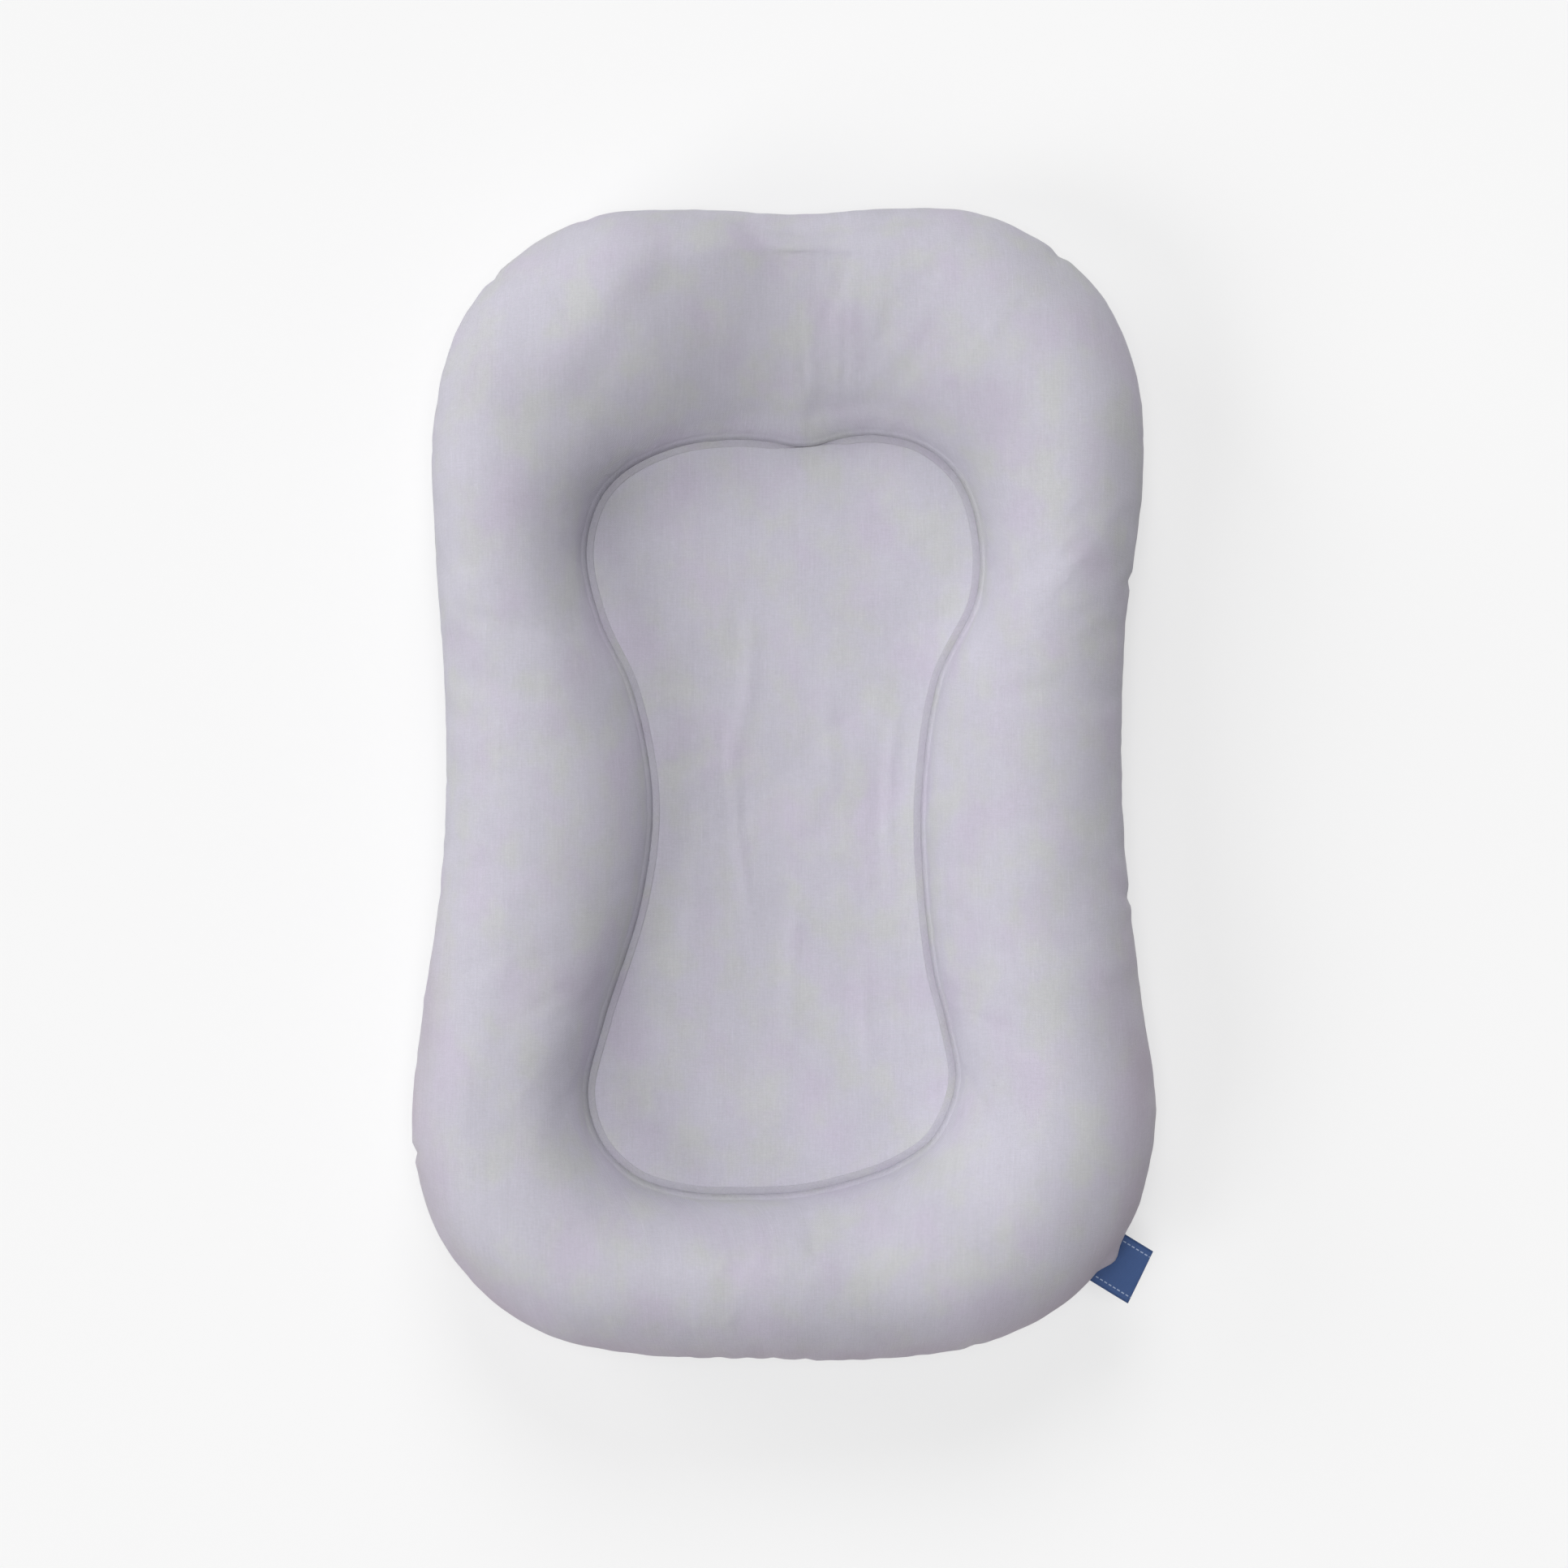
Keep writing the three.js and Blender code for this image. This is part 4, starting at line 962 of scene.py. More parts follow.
underside = bmesh.new()
flat_place = underside.verts.layers.float_vector.new("cloth")
whole_points, whole_faces, whole_cloth = whole_underside()
for point, (u, v) in zip(whole_points, whole_cloth):
    underside.verts.new(point)[flat_place] = (u, v, 0)
underside.verts.ensure_lookup_table()
for face in whole_faces:
    underside.faces.new([underside.verts[k] for k in face])
cut_window(underside)
under_pieces = []
for side, name in SIDES:
    spots, groups, cloth = half_of(underside, side)
    under_pieces.append(
        add_skin(f"cover_under_skin_{name}", spots, groups, COVER_CLOTH, cloth, [f"cover_under_{name}"])
    )
underside.free()

# %% [markdown]
# The piping is a strip of the cover's own cloth, cut on the bias and folded round a cord. A curve with a bevel
# would make a round tube. Here a profile is swept along the centre seam instead, because the seam pulls the
# strip flat on top, and its ends have to grow thin and sink into the seam where they meet.


# %% Sweeping along the centre seam
def along_centre(run):
    """Places on the centre seam and the ways out from it, at distances along it."""
    u = np.interp(run % CENTRE_LENGTH, centre_run, np.append(U, 1))
    step = 1e-4
    plan, ahead, behind = (seam_at(CENTRE_SHARES, u + shift) for shift in (0, step, -step))
    return plan, sideways(ahead - behind)


PIPING_SINK = 0.0014  # how far the piping's bead sits below the seam's height, and its ends below that


def swept(run, profile):
    """A surface along the centre seam from a profile of (outward, upward) offsets, one row for each."""
    plan, away = along_centre(run)
    low = CENTRE_SEAM_HEIGHT - PIPING_SINK
    return np.stack([lifted(plan + away * out[:, None], low + up) for out, up in profile])


def soft_noise(rng, count, width):
    """Random numbers, each averaged with its neighbours over a width."""
    window, margin = np.hanning(width), width - 1
    drawn = rng.normal(0, 1, count + 2 * margin)
    return np.convolve(drawn, window / window.sum(), "same")[margin : margin + count]


# %% [markdown]
# The strip's profile starts at one edge inside the seam, goes over the cord and ends at its other edge. On the
# flat cloth it lies at 45 degrees, which lets real piping follow a tight curve without creasing.

# %% Piping
PIPING_CLOTH = 0.0007
END_GAP = 0.0035  # from the join to the end of the strip
# Half the bead's width, its rise and depth from its widest line, and that line's height
BEAD_HALF, BEAD_RISE, BEAD_DEPTH, BEAD_LINE = 0.00245, 0.0010, 0.0028, 0.0012
FLAP = [(0.0006, -0.0024), (0.0004, -0.0030)]  # the strip's edge inside the seam: outward and upward
piping_run = np.linspace(join_run + END_GAP, join_run + CENTRE_LENGTH - END_GAP, 700)
THIN_END, UNEVEN = 0.35, 0.02  # the bead's size at its ends, and how much it varies on its way
grown = smooth_step(from_join(piping_run), 0.002, 0.028)
bead_size = THIN_END + (1 - THIN_END) * grown
bead_size *= 1 + UNEVEN * soft_noise(np.random.default_rng(31), len(piping_run), 11)
bead_sink = -PIPING_SINK * (1 - grown)
bead = []
for angle in np.radians(np.linspace(-55, 235, 25)):
    up = BEAD_RISE * math.sqrt(max(math.sin(angle), 0)) + BEAD_DEPTH * min(math.sin(angle), 0)
    bead.append((math.cos(angle) * BEAD_HALF * bead_size, (BEAD_LINE + up) * bead_size + bead_sink))
flap = [(np.full(len(bead_size), out), bead_sink + np.full(len(bead_size), up)) for out, up in FLAP]
profile = flap[::-1] + bead + [(-out, up) for out, up in flap]
piping_grid = swept(piping_run, profile)
profile_run = rows_run(piping_grid)
bias = np.stack([(profile_run + piping_run) / math.sqrt(2), (piping_run - profile_run) / math.sqrt(2)], axis=-1)
piping_faces = grid_faces(len(profile), len(piping_run), round_columns=False)
piping = add_skin("piping_strip", piping_grid, [piping_faces], PIPING_CLOTH, bias, ["centre_piping"])

# %% [markdown]
# The cord inside is twisted from three strands. Three swept strands would be hidden work, so one sweep with a
# radius that dips three times round and turns along the cord stands for them.

# %% Cord in the piping
CORD_RADIUS = 0.0011
CORD_INSET = 0.004  # from the strip's end to the cord's
STRANDS, TWIST, STRAND_DIP = 3, 0.009, 0.16  # the strands, the cord for one whole turn, and the dips between
CORD_END = 0.3  # the cord's size at its ends
cord_run = np.linspace(piping_run[0] + CORD_INSET, piping_run[-1] - CORD_INSET, 900)
cord_grown = smooth_step(from_join(cord_run), 0.004, 0.03)
cord_size = CORD_RADIUS * (CORD_END + (1 - CORD_END) * cord_grown)
cord_sink = -PIPING_SINK * (1 - cord_grown)
cord_profile = []
for angle in np.linspace(0, 2 * math.pi, 12, endpoint=False):
    strand = 1 - STRAND_DIP * np.abs(np.sin(STRANDS * (angle - 2 * math.pi * cord_run / TWIST) / 2))
    radius = cord_size * strand
    cord_profile.append((np.cos(angle) * radius, np.sin(angle) * radius + cord_sink))
cord_grid = swept(cord_run, cord_profile)
rows, columns = cord_grid.shape[:2]
first_middle, last_middle = rows * columns, rows * columns + 1
caps = [(first_middle, r * columns, (r + 1) % rows * columns) for r in range(rows)]
caps += [(last_middle, ((r + 1) % rows + 1) * columns - 1, (r + 1) * columns - 1) for r in range(rows)]
cord_ends = cord_grid[:, [0, -1]].mean(axis=0)
cord = add_piece(
    "twisted_cord", np.vstack([cord_grid.reshape(-1, 3), cord_ends]),
    [grid_faces(rows, columns, round_columns=False, round_rows=True), np.array(caps)], ["piping_cord"],
)  # fmt: skip

# %% [markdown]
# Inside the cover lies the insert: a lining of two panels, stuffed round its rim and with a thin pad in the
# middle. None of it shows, but it has to stay inside. So each layer is the cover's own surface moved inwards by
# its depth, with every second column, and nothing pokes through a fold.

# %% Depths inside the cover
LINER_CLOTH = 0.0008
LINER_DEPTH = COVER_CLOTH + PLY_GAP
FILL_DEPTH = LINER_DEPTH + LINER_CLOTH + PLY_GAP
LINER_RISE = 0.013  # the height of the insert's underside inside the ring
INSERT_CREASE = 0.003  # how far the insert's own centre seam lies below the cover's
INSERT_INSET = 0.0028  # the insert ends this far inside the edge seam, and its depth further
INSERT_ROWS = slice(6, None, 2)
EDGE_2, EDGE_OUT_2, CENTRE_2, CENTRE_OUT_2 = EDGE[::2], EDGE_OUT[::2], CENTRE[::2], CENTRE_OUT[::2]


def insert_rim(depth, side):
    """The insert's edge at a depth, above (1) or below (-1) the line of the edge seam."""
    return lifted(EDGE_2 - EDGE_OUT_2 * (INSERT_INSET + depth), EDGE_SEAM_HEIGHT + side * PLY_GAP / 2)[None]


def below_top(depth):
    """The cover's top at a depth under it, from the edge seam to its end beside the piping."""
    grid = top_surface - grid_normals(top_surface) * depth
    return np.concatenate([insert_rim(depth, 1), grid[INSERT_ROWS, ::2]])


def above_underside(depth):
    """The underside at a depth inside it, from the edge seam to the line of the centre seam."""
    plain = under_bolster(UNDER_TURNS, LINER_RISE)
    sides = (under_surface - under_normals * depth)[..., :2]
    plan = IN_THE_AIR[..., None] * sides + (1 - IN_THE_AIR[..., None]) * plain[..., :2]
    height = np.maximum((plain + grid_normals(plain) * depth)[..., 2], depth)
    grid = lifted(plan, np.where(UNDER_TURNS < 1, height, plain[..., 2] + depth))[INSERT_ROWS, ::2]
    last = lifted(CENTRE_2, LINER_RISE + depth)
    return np.concatenate([insert_rim(depth, -1), grid[:-1], last[None]])


def panel_below(plan, depth):
    """The centre panel's cloth at a depth, drawn down further at the insert's own seam."""
    height, away = panel_height(plan)
    return height - depth - INSERT_CREASE * np.exp(-away / RIM_REACH)


# %% [markdown]
# Each side of the lining is one surface: a ring of rows under the bolster's cloth, and the filled loop inside
# its last row under the panel. The underside's faces are turned over, so that they point down and out.


# %% Lining of the insert
def add_lining(name, grid, heights, turned, node):
    """One side of the lining, from a ring of rows and the heights inside its last row."""
    offset = (len(grid) - 1) * len(CENTRE_2)
    points = np.vstack([grid.reshape(-1, 3), lifted(liner_plan, heights)[len(CENTRE_2) :]])
    surface = [grid_faces(len(grid), len(CENTRE_2)), liner_faces + offset]
    surface = [faces[:, ::-1] for faces in surface] if turned else surface
    return add_skin(name, points, surface, LINER_CLOTH, points[:, :2], [node])


liner_plan, liner_faces = fill_loop(CENTRE_2, rings=[0.003], spacing=0.006)
crease = lifted(CENTRE_2, CENTRE_SEAM_HEIGHT - INSERT_CREASE - LINER_DEPTH)
liner_top = add_lining(
    "lining_top", np.concatenate([below_top(LINER_DEPTH), crease[None]]),
    panel_below(liner_plan, LINER_DEPTH), False, "insert_liner_top",
)  # fmt: skip
liner_under = add_lining(
    "lining_under", above_underside(LINER_DEPTH), LINER_RISE + LINER_DEPTH, True, "insert_liner_under"
)

# %% [markdown]
# Loose fibre fills the insert. It has no shape of its own, so the bolster's stuffing is a closed ring between
# the lining's two sides, and the pad is a closed cushion in its middle.

# %% Stuffing and pad
wall_out = CENTRE_2 + CENTRE_OUT_2 * PLY_GAP / 2
wall_high = lifted(wall_out, CENTRE_SEAM_HEIGHT - INSERT_CREASE - FILL_DEPTH)
wall_low = lifted(wall_out, LINER_RISE + FILL_DEPTH)
fill_grid = np.concatenate(
    [below_top(FILL_DEPTH), wall_high[None], wall_low[None], above_underside(FILL_DEPTH)[:-1][::-1]]
)
fill_faces = grid_faces(len(fill_grid), len(CENTRE_2), round_rows=True)
fill = add_piece("bolster_stuffing", fill_grid.reshape(-1, 3), [fill_faces], ["bolster_fill"])

pad_loop = CENTRE_2 - CENTRE_OUT_2 * PLY_GAP / 2
pad_plan, pad_faces = fill_loop(pad_loop, rings=[0.003], spacing=0.007)
pad_points = [lifted(pad_plan, panel_below(pad_plan, FILL_DEPTH)), lifted(pad_plan, LINER_RISE + FILL_DEPTH)]
count = len(pad_plan)
here = np.arange(len(pad_loop))
following = (here + 1) % len(pad_loop)
pad_sides = np.stack([following, here, here + count, following + count], axis=1)
pad_ends = np.vstack([pad_faces, pad_faces[:, ::-1] + count])
pad = add_piece("pad_stuffing", np.vstack(pad_points), [pad_sides, pad_ends], ["centre_pad"])

# %% [markdown]
# The tag is a piece of satin ribbon, folded in two and caught in the edge seam. A bent plane would do, but a
# folded ribbon has two plies and a round fold between them, so its section is drawn first, and then a slight
# curl and a skew are added. It stays blank apart from a thin woven border.

# %% Woven tag
TAG_ANGLE = math.radians(-31.5)
TAG_WIDTH, TAG_REACH, TAG_ROOT, TAG_PLY = 0.037, 0.026, 0.008, 0.0005
TAG_GAP = 0.0004  # between the two plies
TAG_SET_IN, TAG_SKEW = 0.0022, 0.1
TAG_DROOP, TAG_ARCH, TAG_LIFT, TAG_LOOSE = 0.0008, 0.0006, 0.00035, 0.0004
ply_height = TAG_GAP / 2 + TAG_PLY
fold = np.linspace(math.pi / 2, -math.pi / 2, 9)
straight = np.linspace(-TAG_ROOT, TAG_REACH - ply_height, 24)[:-1]
tag_out = np.concatenate([straight, TAG_REACH - ply_height + ply_height * np.cos(fold), straight[::-1]])
level = np.full(len(straight), ply_height)
tag_up = np.concatenate([level, ply_height * np.sin(fold), -level])[:, None]
out, side = np.meshgrid(tag_out, np.linspace(-TAG_WIDTH / 2, TAG_WIDTH / 2, 25), indexing="ij")
out = out - TAG_SET_IN - TAG_SKEW * side * np.clip(out / TAG_REACH, 0, 1)
share_out = np.clip(out / TAG_REACH, 0, 1)
curl = -TAG_DROOP * share_out**2 + TAG_ARCH * share_out * np.cos(side / TAG_WIDTH * 2.6)
curl = curl + TAG_LIFT * share_out * side / TAG_WIDTH
loose = np.where(tag_up > 0, 1, 0.25) * TAG_LOOSE * np.sin(share_out * math.pi)
ahead, aside = (math.cos(TAG_ANGLE), math.sin(TAG_ANGLE)), (-math.sin(TAG_ANGLE), math.cos(TAG_ANGLE))
turned = np.stack([out * ahead[k] + side * aside[k] for k in (0, 1)], axis=-1)
tag_grid = lifted(turned + tag_place, EDGE_SEAM_HEIGHT + (tag_up + curl + loose))
tag_run = rows_run(tag_grid)
tag_faces = grid_faces(*out.shape, round_columns=False)
tag_cloth = np.stack([side, tag_run], axis=-1)
tag = add_skin("folded_tag", tag_grid, [tag_faces], TAG_PLY, tag_cloth, ["side_tag"])

# %% [markdown]
# The cover comes off through a zip underneath. Its two woven tapes lie inside the halves of the underside. A
# tape is a flat strip with a faint wave, as thick as its solid. Its points lie closer together beside the coil.

# %% Zip tapes
TAPE_WIDTH, TAPE_WAVE = 0.014, 0.00006
COIL_STRIP, TAPE_FIELD = 0.0016, 0.0034  # the close points beside the coil, and where the wide ones start
tape_low, tape_high = (np.array(corner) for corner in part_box("zip_tape_right"))


def zip_tape(side, name):
    """One tape of the zip: its left one on side -1 and its right one on side 1."""
    beside_coil = np.linspace(tape_low[0], tape_low[0] + COIL_STRIP, 5)
    across = np.concatenate([beside_coil, np.linspace(TAPE_FIELD, tape_high[0], 8)])
    along = np.linspace(tape_low[1], tape_high[1], 150)
    x, y = np.meshgrid(across, along, indexing="ij")
    wave = soft_noise(np.random.default_rng(41 + side), 150, 21)
    z = tape_low[2] + TAPE_WAVE * wave * (x - tape_low[0]) / TAPE_WIDTH
    faces = grid_faces(*x.shape, round_columns=False)
    faces = faces if side < 0 else faces[:, ::-1]
    grid, cloth = np.stack([side * x, y, z], axis=-1), np.stack([x, y], axis=-1)
    thickness = tape_high[2] - tape_low[2]
    return add_skin(f"woven_tape_{name}", grid, [faces], thickness, cloth, [f"zip_tape_{name}"])


tapes = [zip_tape(side, name) for side, name in SIDES]

# %% [markdown]
# Materials and rows of repeated shapes are built from nodes. They could be placed one by one, but a small
# wrapper lets a socket stand in ordinary sums, so that a pattern reads like a formula.


# %% Sockets in sums
class Value:
    """An output socket that can be added, multiplied and so on, each time through a Math node."""

    def __init__(self, tree, socket):
        self.tree, self.socket = tree, socket

    def maths(self, operation, *values):
        node = self.tree.nodes.new("ShaderNodeMath")
        node.operation = operation
        for entry, value in zip(node.inputs, values):
            connect(self.tree, entry, value)
        return Value(self.tree, node.outputs[0])

    def __add__(self, other):
        return self.maths("ADD", self, other)

    def __sub__(self, other):
        return self.maths("SUBTRACT", self, other)

    def __rsub__(self, other):
        return self.maths("SUBTRACT", other, self)

    def __mul__(self, other):
        return self.maths("MULTIPLY", self, other)

    def __truediv__(self, other):
        return self.maths("DIVIDE", self, other)

    def sin(self):
        return self.maths("SINE", self)

    def abs(self):
        return self.maths("ABSOLUTE", self)

    __radd__ = __add__
    __rmul__ = __mul__


def connect(tree, entry, value):
    """Links a value to a node's input, or writes a plain number there."""
    if isinstance(value, Value):
        tree.links.new(value.socket, entry)
    else:
        entry.default_value = value


def add_node(tree, kind, settings, inputs, output=0):
    """A node whose inputs are given by name or by number."""
    node = tree.nodes.new(kind)
    for key, value in settings.items():
        setattr(node, key, value)
    for entry, value in inputs.items():
        connect(tree, node.inputs[entry], value)
    return Value(tree, node.outputs[output])


# %% [markdown]
# Each finish is one principled shader. Numbers that are the same all over a surface stay on the shader's own
# sockets, and only what changes over it, such as its colour or its threads, comes from nodes.


# %% Materials of one shader
class Material:
    """A material with one principled shader, whose numbers are set once and whose patterns are nodes."""

    def __init__(self, name, **numbers):
        self.material = bpy.data.materials.new(name)
        self.material.use_nodes = True
        self.tree = self.material.node_tree
        self.shader = self.tree.nodes["Principled BSDF"]
        for entry, number in numbers.items():
            self.shader.inputs[entry.replace("_", " ")].default_value = number

    def node(self, kind, settings, inputs, output=0):
        return add_node(self.tree, kind, settings, inputs, output)

    def cloth_place(self):
        return self.node("ShaderNodeUVMap", {"uv_map": "cloth"}, {})

    def object_place(self):
        return self.node("ShaderNodeTexCoord", {}, {}, output=3)

    def noise(self, place, sizes, detail=2.0, roughness=0.5):
        """Noise from 0 to 1 with grains of the given sizes in metres. One size is for all three ways."""
        sizes = sizes if isinstance(sizes, tuple) else (sizes,) * 3
        scale = tuple(1 / size for size in sizes)
        scaled = self.node("ShaderNodeVectorMath", {"operation": "MULTIPLY"}, {0: place, 1: scale})
        inputs = {"Vector": scaled, "Scale": 1.0, "Detail": detail, "Roughness": roughness}
        return self.node("ShaderNodeTexNoise", {}, inputs)

    def between(self, value, low, high):
        settings = {"interpolation_type": "SMOOTHSTEP"}
        return self.node("ShaderNodeMapRange", settings, {0: value, 1: low, 2: high})

    def axes(self, place):
        node = self.tree.nodes.new("ShaderNodeSeparateXYZ")
        connect(self.tree, node.inputs[0], place)
        return [Value(self.tree, output) for output in node.outputs]

    def mix(self, share, first, second):
        return self.node("ShaderNodeMix", {"data_type": "RGBA"}, {0: share, 6: first, 7: second}, output=2)

    def brighter(self, colour, factor):
        return self.node("ShaderNodeVectorMath", {"operation": "SCALE"}, {0: colour, 3: factor})

    def bump(self, height, distance, strength):
        inputs = {"Height": height, "Distance": distance, "Strength": strength}
        return self.node("ShaderNodeBump", {}, inputs)

    def done(self, **patterns):
        for entry, value in patterns.items():
            connect(self.tree, self.shader.inputs[entry.replace("_", " ")], value)
        return self.material


def rgb(red, green, blue):
    return (red, green, blue, 1)


def dress(pieces, material):
    """Gives pieces their material."""
    for piece in pieces:
        piece.data.materials.clear()
        piece.data.materials.append(material)
    print(material.name, "on", ", ".join(piece.name for piece in pieces))


# %% [markdown]
# The cover is plain-woven cotton of a pale lilac grey. From far off it is one colour, but close up its threads
# cross, some are thicker, and the dye is a little uneven. Its larger light and dark patches are partly that dye
# and partly painted shade of lumpy stuffing, and low on the foot end a darker plum tone is painted shade. An image
# could show all that, but it would blur close up and repeat, so crossing sine waves make the threads and noise at
# several sizes makes the rest.

# %% Cotton of the cover
TURN = 2 * math.pi  # one whole wave of a sine
COTTON_THREAD = 0.00055


def weave_of(material, place, thread):
    """Crossing threads of a plain weave, from -1 to 1, a little uneven so that they never line up exactly."""
    jitter = material.noise(place, 0.004, detail=1.0) - 0.5
    u, v, _ = material.axes(place)
    across = ((u / (2 * thread) + jitter * 0.5) * TURN).sin()
    up = ((v / (2 * thread * 1.08) - jitter * 0.5) * TURN).sin()
    return across * up


def painted_shade_ring(material):
    """Share of painted shade: 1 low outside the foot end, fading to 0 upwards, inwards and towards the head end.
    """
    x, y, z = material.axes(material.object_place())
    half_width, half_length = 0.239, 0.37
    outer = (x / half_width) * (x / half_width) + (y / half_length) * (y / half_length)
    low = material.between(z, 0.112, 0.070) * material.between(y, 0.0, -0.22)
    return low * material.between(outer, 0.72, 0.95)


def cotton(name, base, warm, cool, painted_shade=None, thread=COTTON_THREAD):
    """Plain-woven cotton: threads, streaks, a mottle partly of painted shade, and painted shade low on the
    bolster.
    """
    material = Material(name, Roughness=0.92, Sheen_Weight=0.18, Sheen_Roughness=0.55, Specular_IOR_Level=0.25)
    place = material.cloth_place()
    weave = weave_of(material, place, thread)
    warp = material.noise(place, (thread * 1.3, thread * 16, 1), detail=1.0) - 0.5
    weft = material.noise(place, (thread * 14, thread * 1.4, 1), detail=1.0) - 0.5
    streaks = material.noise(place, (0.0012, 0.045, 1)) - 0.5
    wide_streaks = material.noise(place, (0.005, 0.12, 1), detail=1.0) - 0.5
    slubs = material.between(material.noise(place, (0.0011, 0.022, 1), detail=0.0), 0.72, 0.82)
    grain = material.noise(place, (0.0015, 0.0013, 1), detail=1.0, roughness=0.6) - 0.5
    warm_share = material.between(material.noise(place, (0.030, 0.036, 1), detail=3.0), 0.42, 0.68)
    cool_share = material.between(material.noise(place, (0.041, 0.052, 1), detail=3.0), 0.46, 0.70)
    # Light and dark patches: partly uneven dye, partly painted shade of the lumpy stuffing.
    dye_and_shade_patches = material.noise(place, (0.05, 0.06, 1)) - 0.5
    colour = material.mix(cool_share, material.mix(warm_share, base, warm), cool)
    # Painted shade: a darker plum tone on the low outer cloth of the foot end, where it lies in shade.
    if painted_shade:
        low = painted_shade_ring(material)
        patchy = material.between(material.noise(place, (0.055, 0.055, 1), detail=1.0), 0.3, 0.6)
        colour = material.mix(low * (0.5 + patchy * 0.5), colour, painted_shade)
    level = 1 + weave * 0.03 + warp * 0.12 + weft * 0.12 + streaks * 0.09 + wide_streaks * 0.04
    level = level + grain * 0.14 + slubs * 0.05 + dye_and_shade_patches * 0.14
    height = weave * 0.35 + warp * 0.8 + weft * 0.6 + slubs * 0.4
    return material.done(
        Base_Color=material.brighter(colour, level), Normal=material.bump(height, 0.00022, 0.7)
    )  # fmt: skip


COVER_TONES = rgb(0.562, 0.548, 0.624), rgb(0.561, 0.562, 0.581), rgb(0.558, 0.523, 0.621)
# The piping's tones are darker than the cover's own cloth: painted shade of the seam's crease.
SHADED_PIPING_TONES = rgb(0.474, 0.462, 0.523), rgb(0.474, 0.470, 0.486), rgb(0.466, 0.440, 0.518)
# The darker plum colour of the painted shade low on the bolster's foot end.
PAINTED_SHADE_TONE = rgb(0.500, 0.442, 0.528)
dress([cover_top], cotton("bolster cotton", *COVER_TONES, painted_shade=PAINTED_SHADE_TONE))
dress([cover_panel, *under_pieces], cotton("cover cotton", *COVER_TONES))
dress([piping], cotton("piping cotton", *SHADED_PIPING_TONES))

# %% [markdown]
# Calico, fibre and soft cord are all pale and dull. What tells them apart close up is their grain: flecks and
# threads in the lining, matted curls in the stuffing and fine fibres on the cord.


# %% Lining, stuffing and cord
def calico():
    """Thin undyed lining with darker flecks of seed in the yarn."""
    material = Material("undyed lining", Roughness=0.95, Sheen_Weight=0.1)
    place = material.cloth_place()
    weave = weave_of(material, place, 0.0004)
    flecks = material.between(material.noise(place, (0.0007, 0.003, 1), detail=0.0), 0.8, 0.86)
    tone = material.noise(place, (0.02, 0.05, 1))
    colour = material.mix(tone, rgb(0.83, 0.80, 0.73), rgb(0.88, 0.86, 0.80))
    colour = material.mix(flecks * 0.5, colour, rgb(0.45, 0.36, 0.24))
    return material.done(Base_Color=colour, Normal=material.bump(weave, 0.00012, 0.6))


def fibre():
    """White polyester stuffing: matted curls of fibre with shallow hollows."""
    material = Material("white fibre", Roughness=0.8, Sheen_Weight=0.5, Sheen_Roughness=0.4)
    place = material.object_place()
    hollows = material.noise(place, 0.02, detail=3.0)
    curls = material.noise(place, 0.0012, detail=3.0, roughness=0.7)
    colour = material.mix(hollows, rgb(0.84, 0.84, 0.83), rgb(0.93, 0.93, 0.92))
    return material.done(Base_Color=colour, Normal=material.bump(hollows * 4 + curls, 0.0006, 0.8))


def twisted_cotton():
    """Soft white cord, with the fine fibres of its strands."""
    material = Material("cord cotton", Roughness=0.9, Sheen_Weight=0.3)
    place = material.object_place()
    fine = material.noise(place, 0.0004)
    wide = material.noise(place, 0.01)
    colour = material.mix(wide, rgb(0.84, 0.82, 0.77), rgb(0.90, 0.89, 0.85))
    return material.done(Base_Color=colour, Normal=material.bump(fine, 0.0002, 0.6))


dress([liner_top, liner_under], calico())
dress([fill, pad], fibre())
dress([cord], twisted_cotton())

# %% [markdown]
# Satin ribbon shines a little, because long threads float on its face. Its cross ribs and floats are fine sine
# waves, and its border is a dashed line woven along each side, at a fixed distance from the selvedge.

# %% Ribbon of the tag
RIB, FLOAT, DASH = 0.00036, 0.00045, 0.0032
BORDER_INSET = 0.0042  # from the ribbon's side to the middle of the woven border


def satin_ribbon():
    """Deep blue satin with fine cross ribs, closer selvedges and a thin pale border of its own."""
    material = Material("blue satin ribbon", Specular_IOR_Level=0.45, Sheen_Weight=0.15, Sheen_Roughness=0.4)
    place = material.cloth_place()
    u, v, _ = material.axes(place)
    ribs = (v / RIB * TURN).sin()
    floats = (u / FLOAT * TURN + material.noise(place, (0.0009, 0.004, 1)) * 2).sin()
    uneven = material.noise(place, (0.006, 0.0007, 1))
    selvedge = material.between(u.abs(), TAG_WIDTH / 2 - 0.0016, TAG_WIDTH / 2 - 0.0011)
    border = material.between((u.abs() - (TAG_WIDTH / 2 - BORDER_INSET)).abs(), 0.00042, 0.00026)
    dashes = material.between((v / DASH * TURN).sin(), -0.5, -0.3)
    colour = material.mix(uneven, rgb(0.018, 0.057, 0.178), rgb(0.025, 0.071, 0.210))
    colour = material.mix(selvedge * 0.6, colour, rgb(0.014, 0.044, 0.138))
    colour = material.mix(border * dashes * 0.85, colour, rgb(0.42, 0.50, 0.66))
    height = ribs * 0.4 + floats * 0.25 + border * dashes * 0.8 + uneven * 0.5
    roughness = 0.52 + selvedge * 0.12 + ribs * 0.03
    return material.done(Base_Color=colour, Roughness=roughness, Normal=material.bump(height, 0.00012, 0.6))


dress([tag], satin_ribbon())

# %% [markdown]
# The zip has four finishes: woven tape, drawn nylon, coated zinc and the thread that sews it in. The tape's ribs
# run lengthwise, which keeps a zip from stretching. The zinc is rubbed a little where hands and teeth touch it.


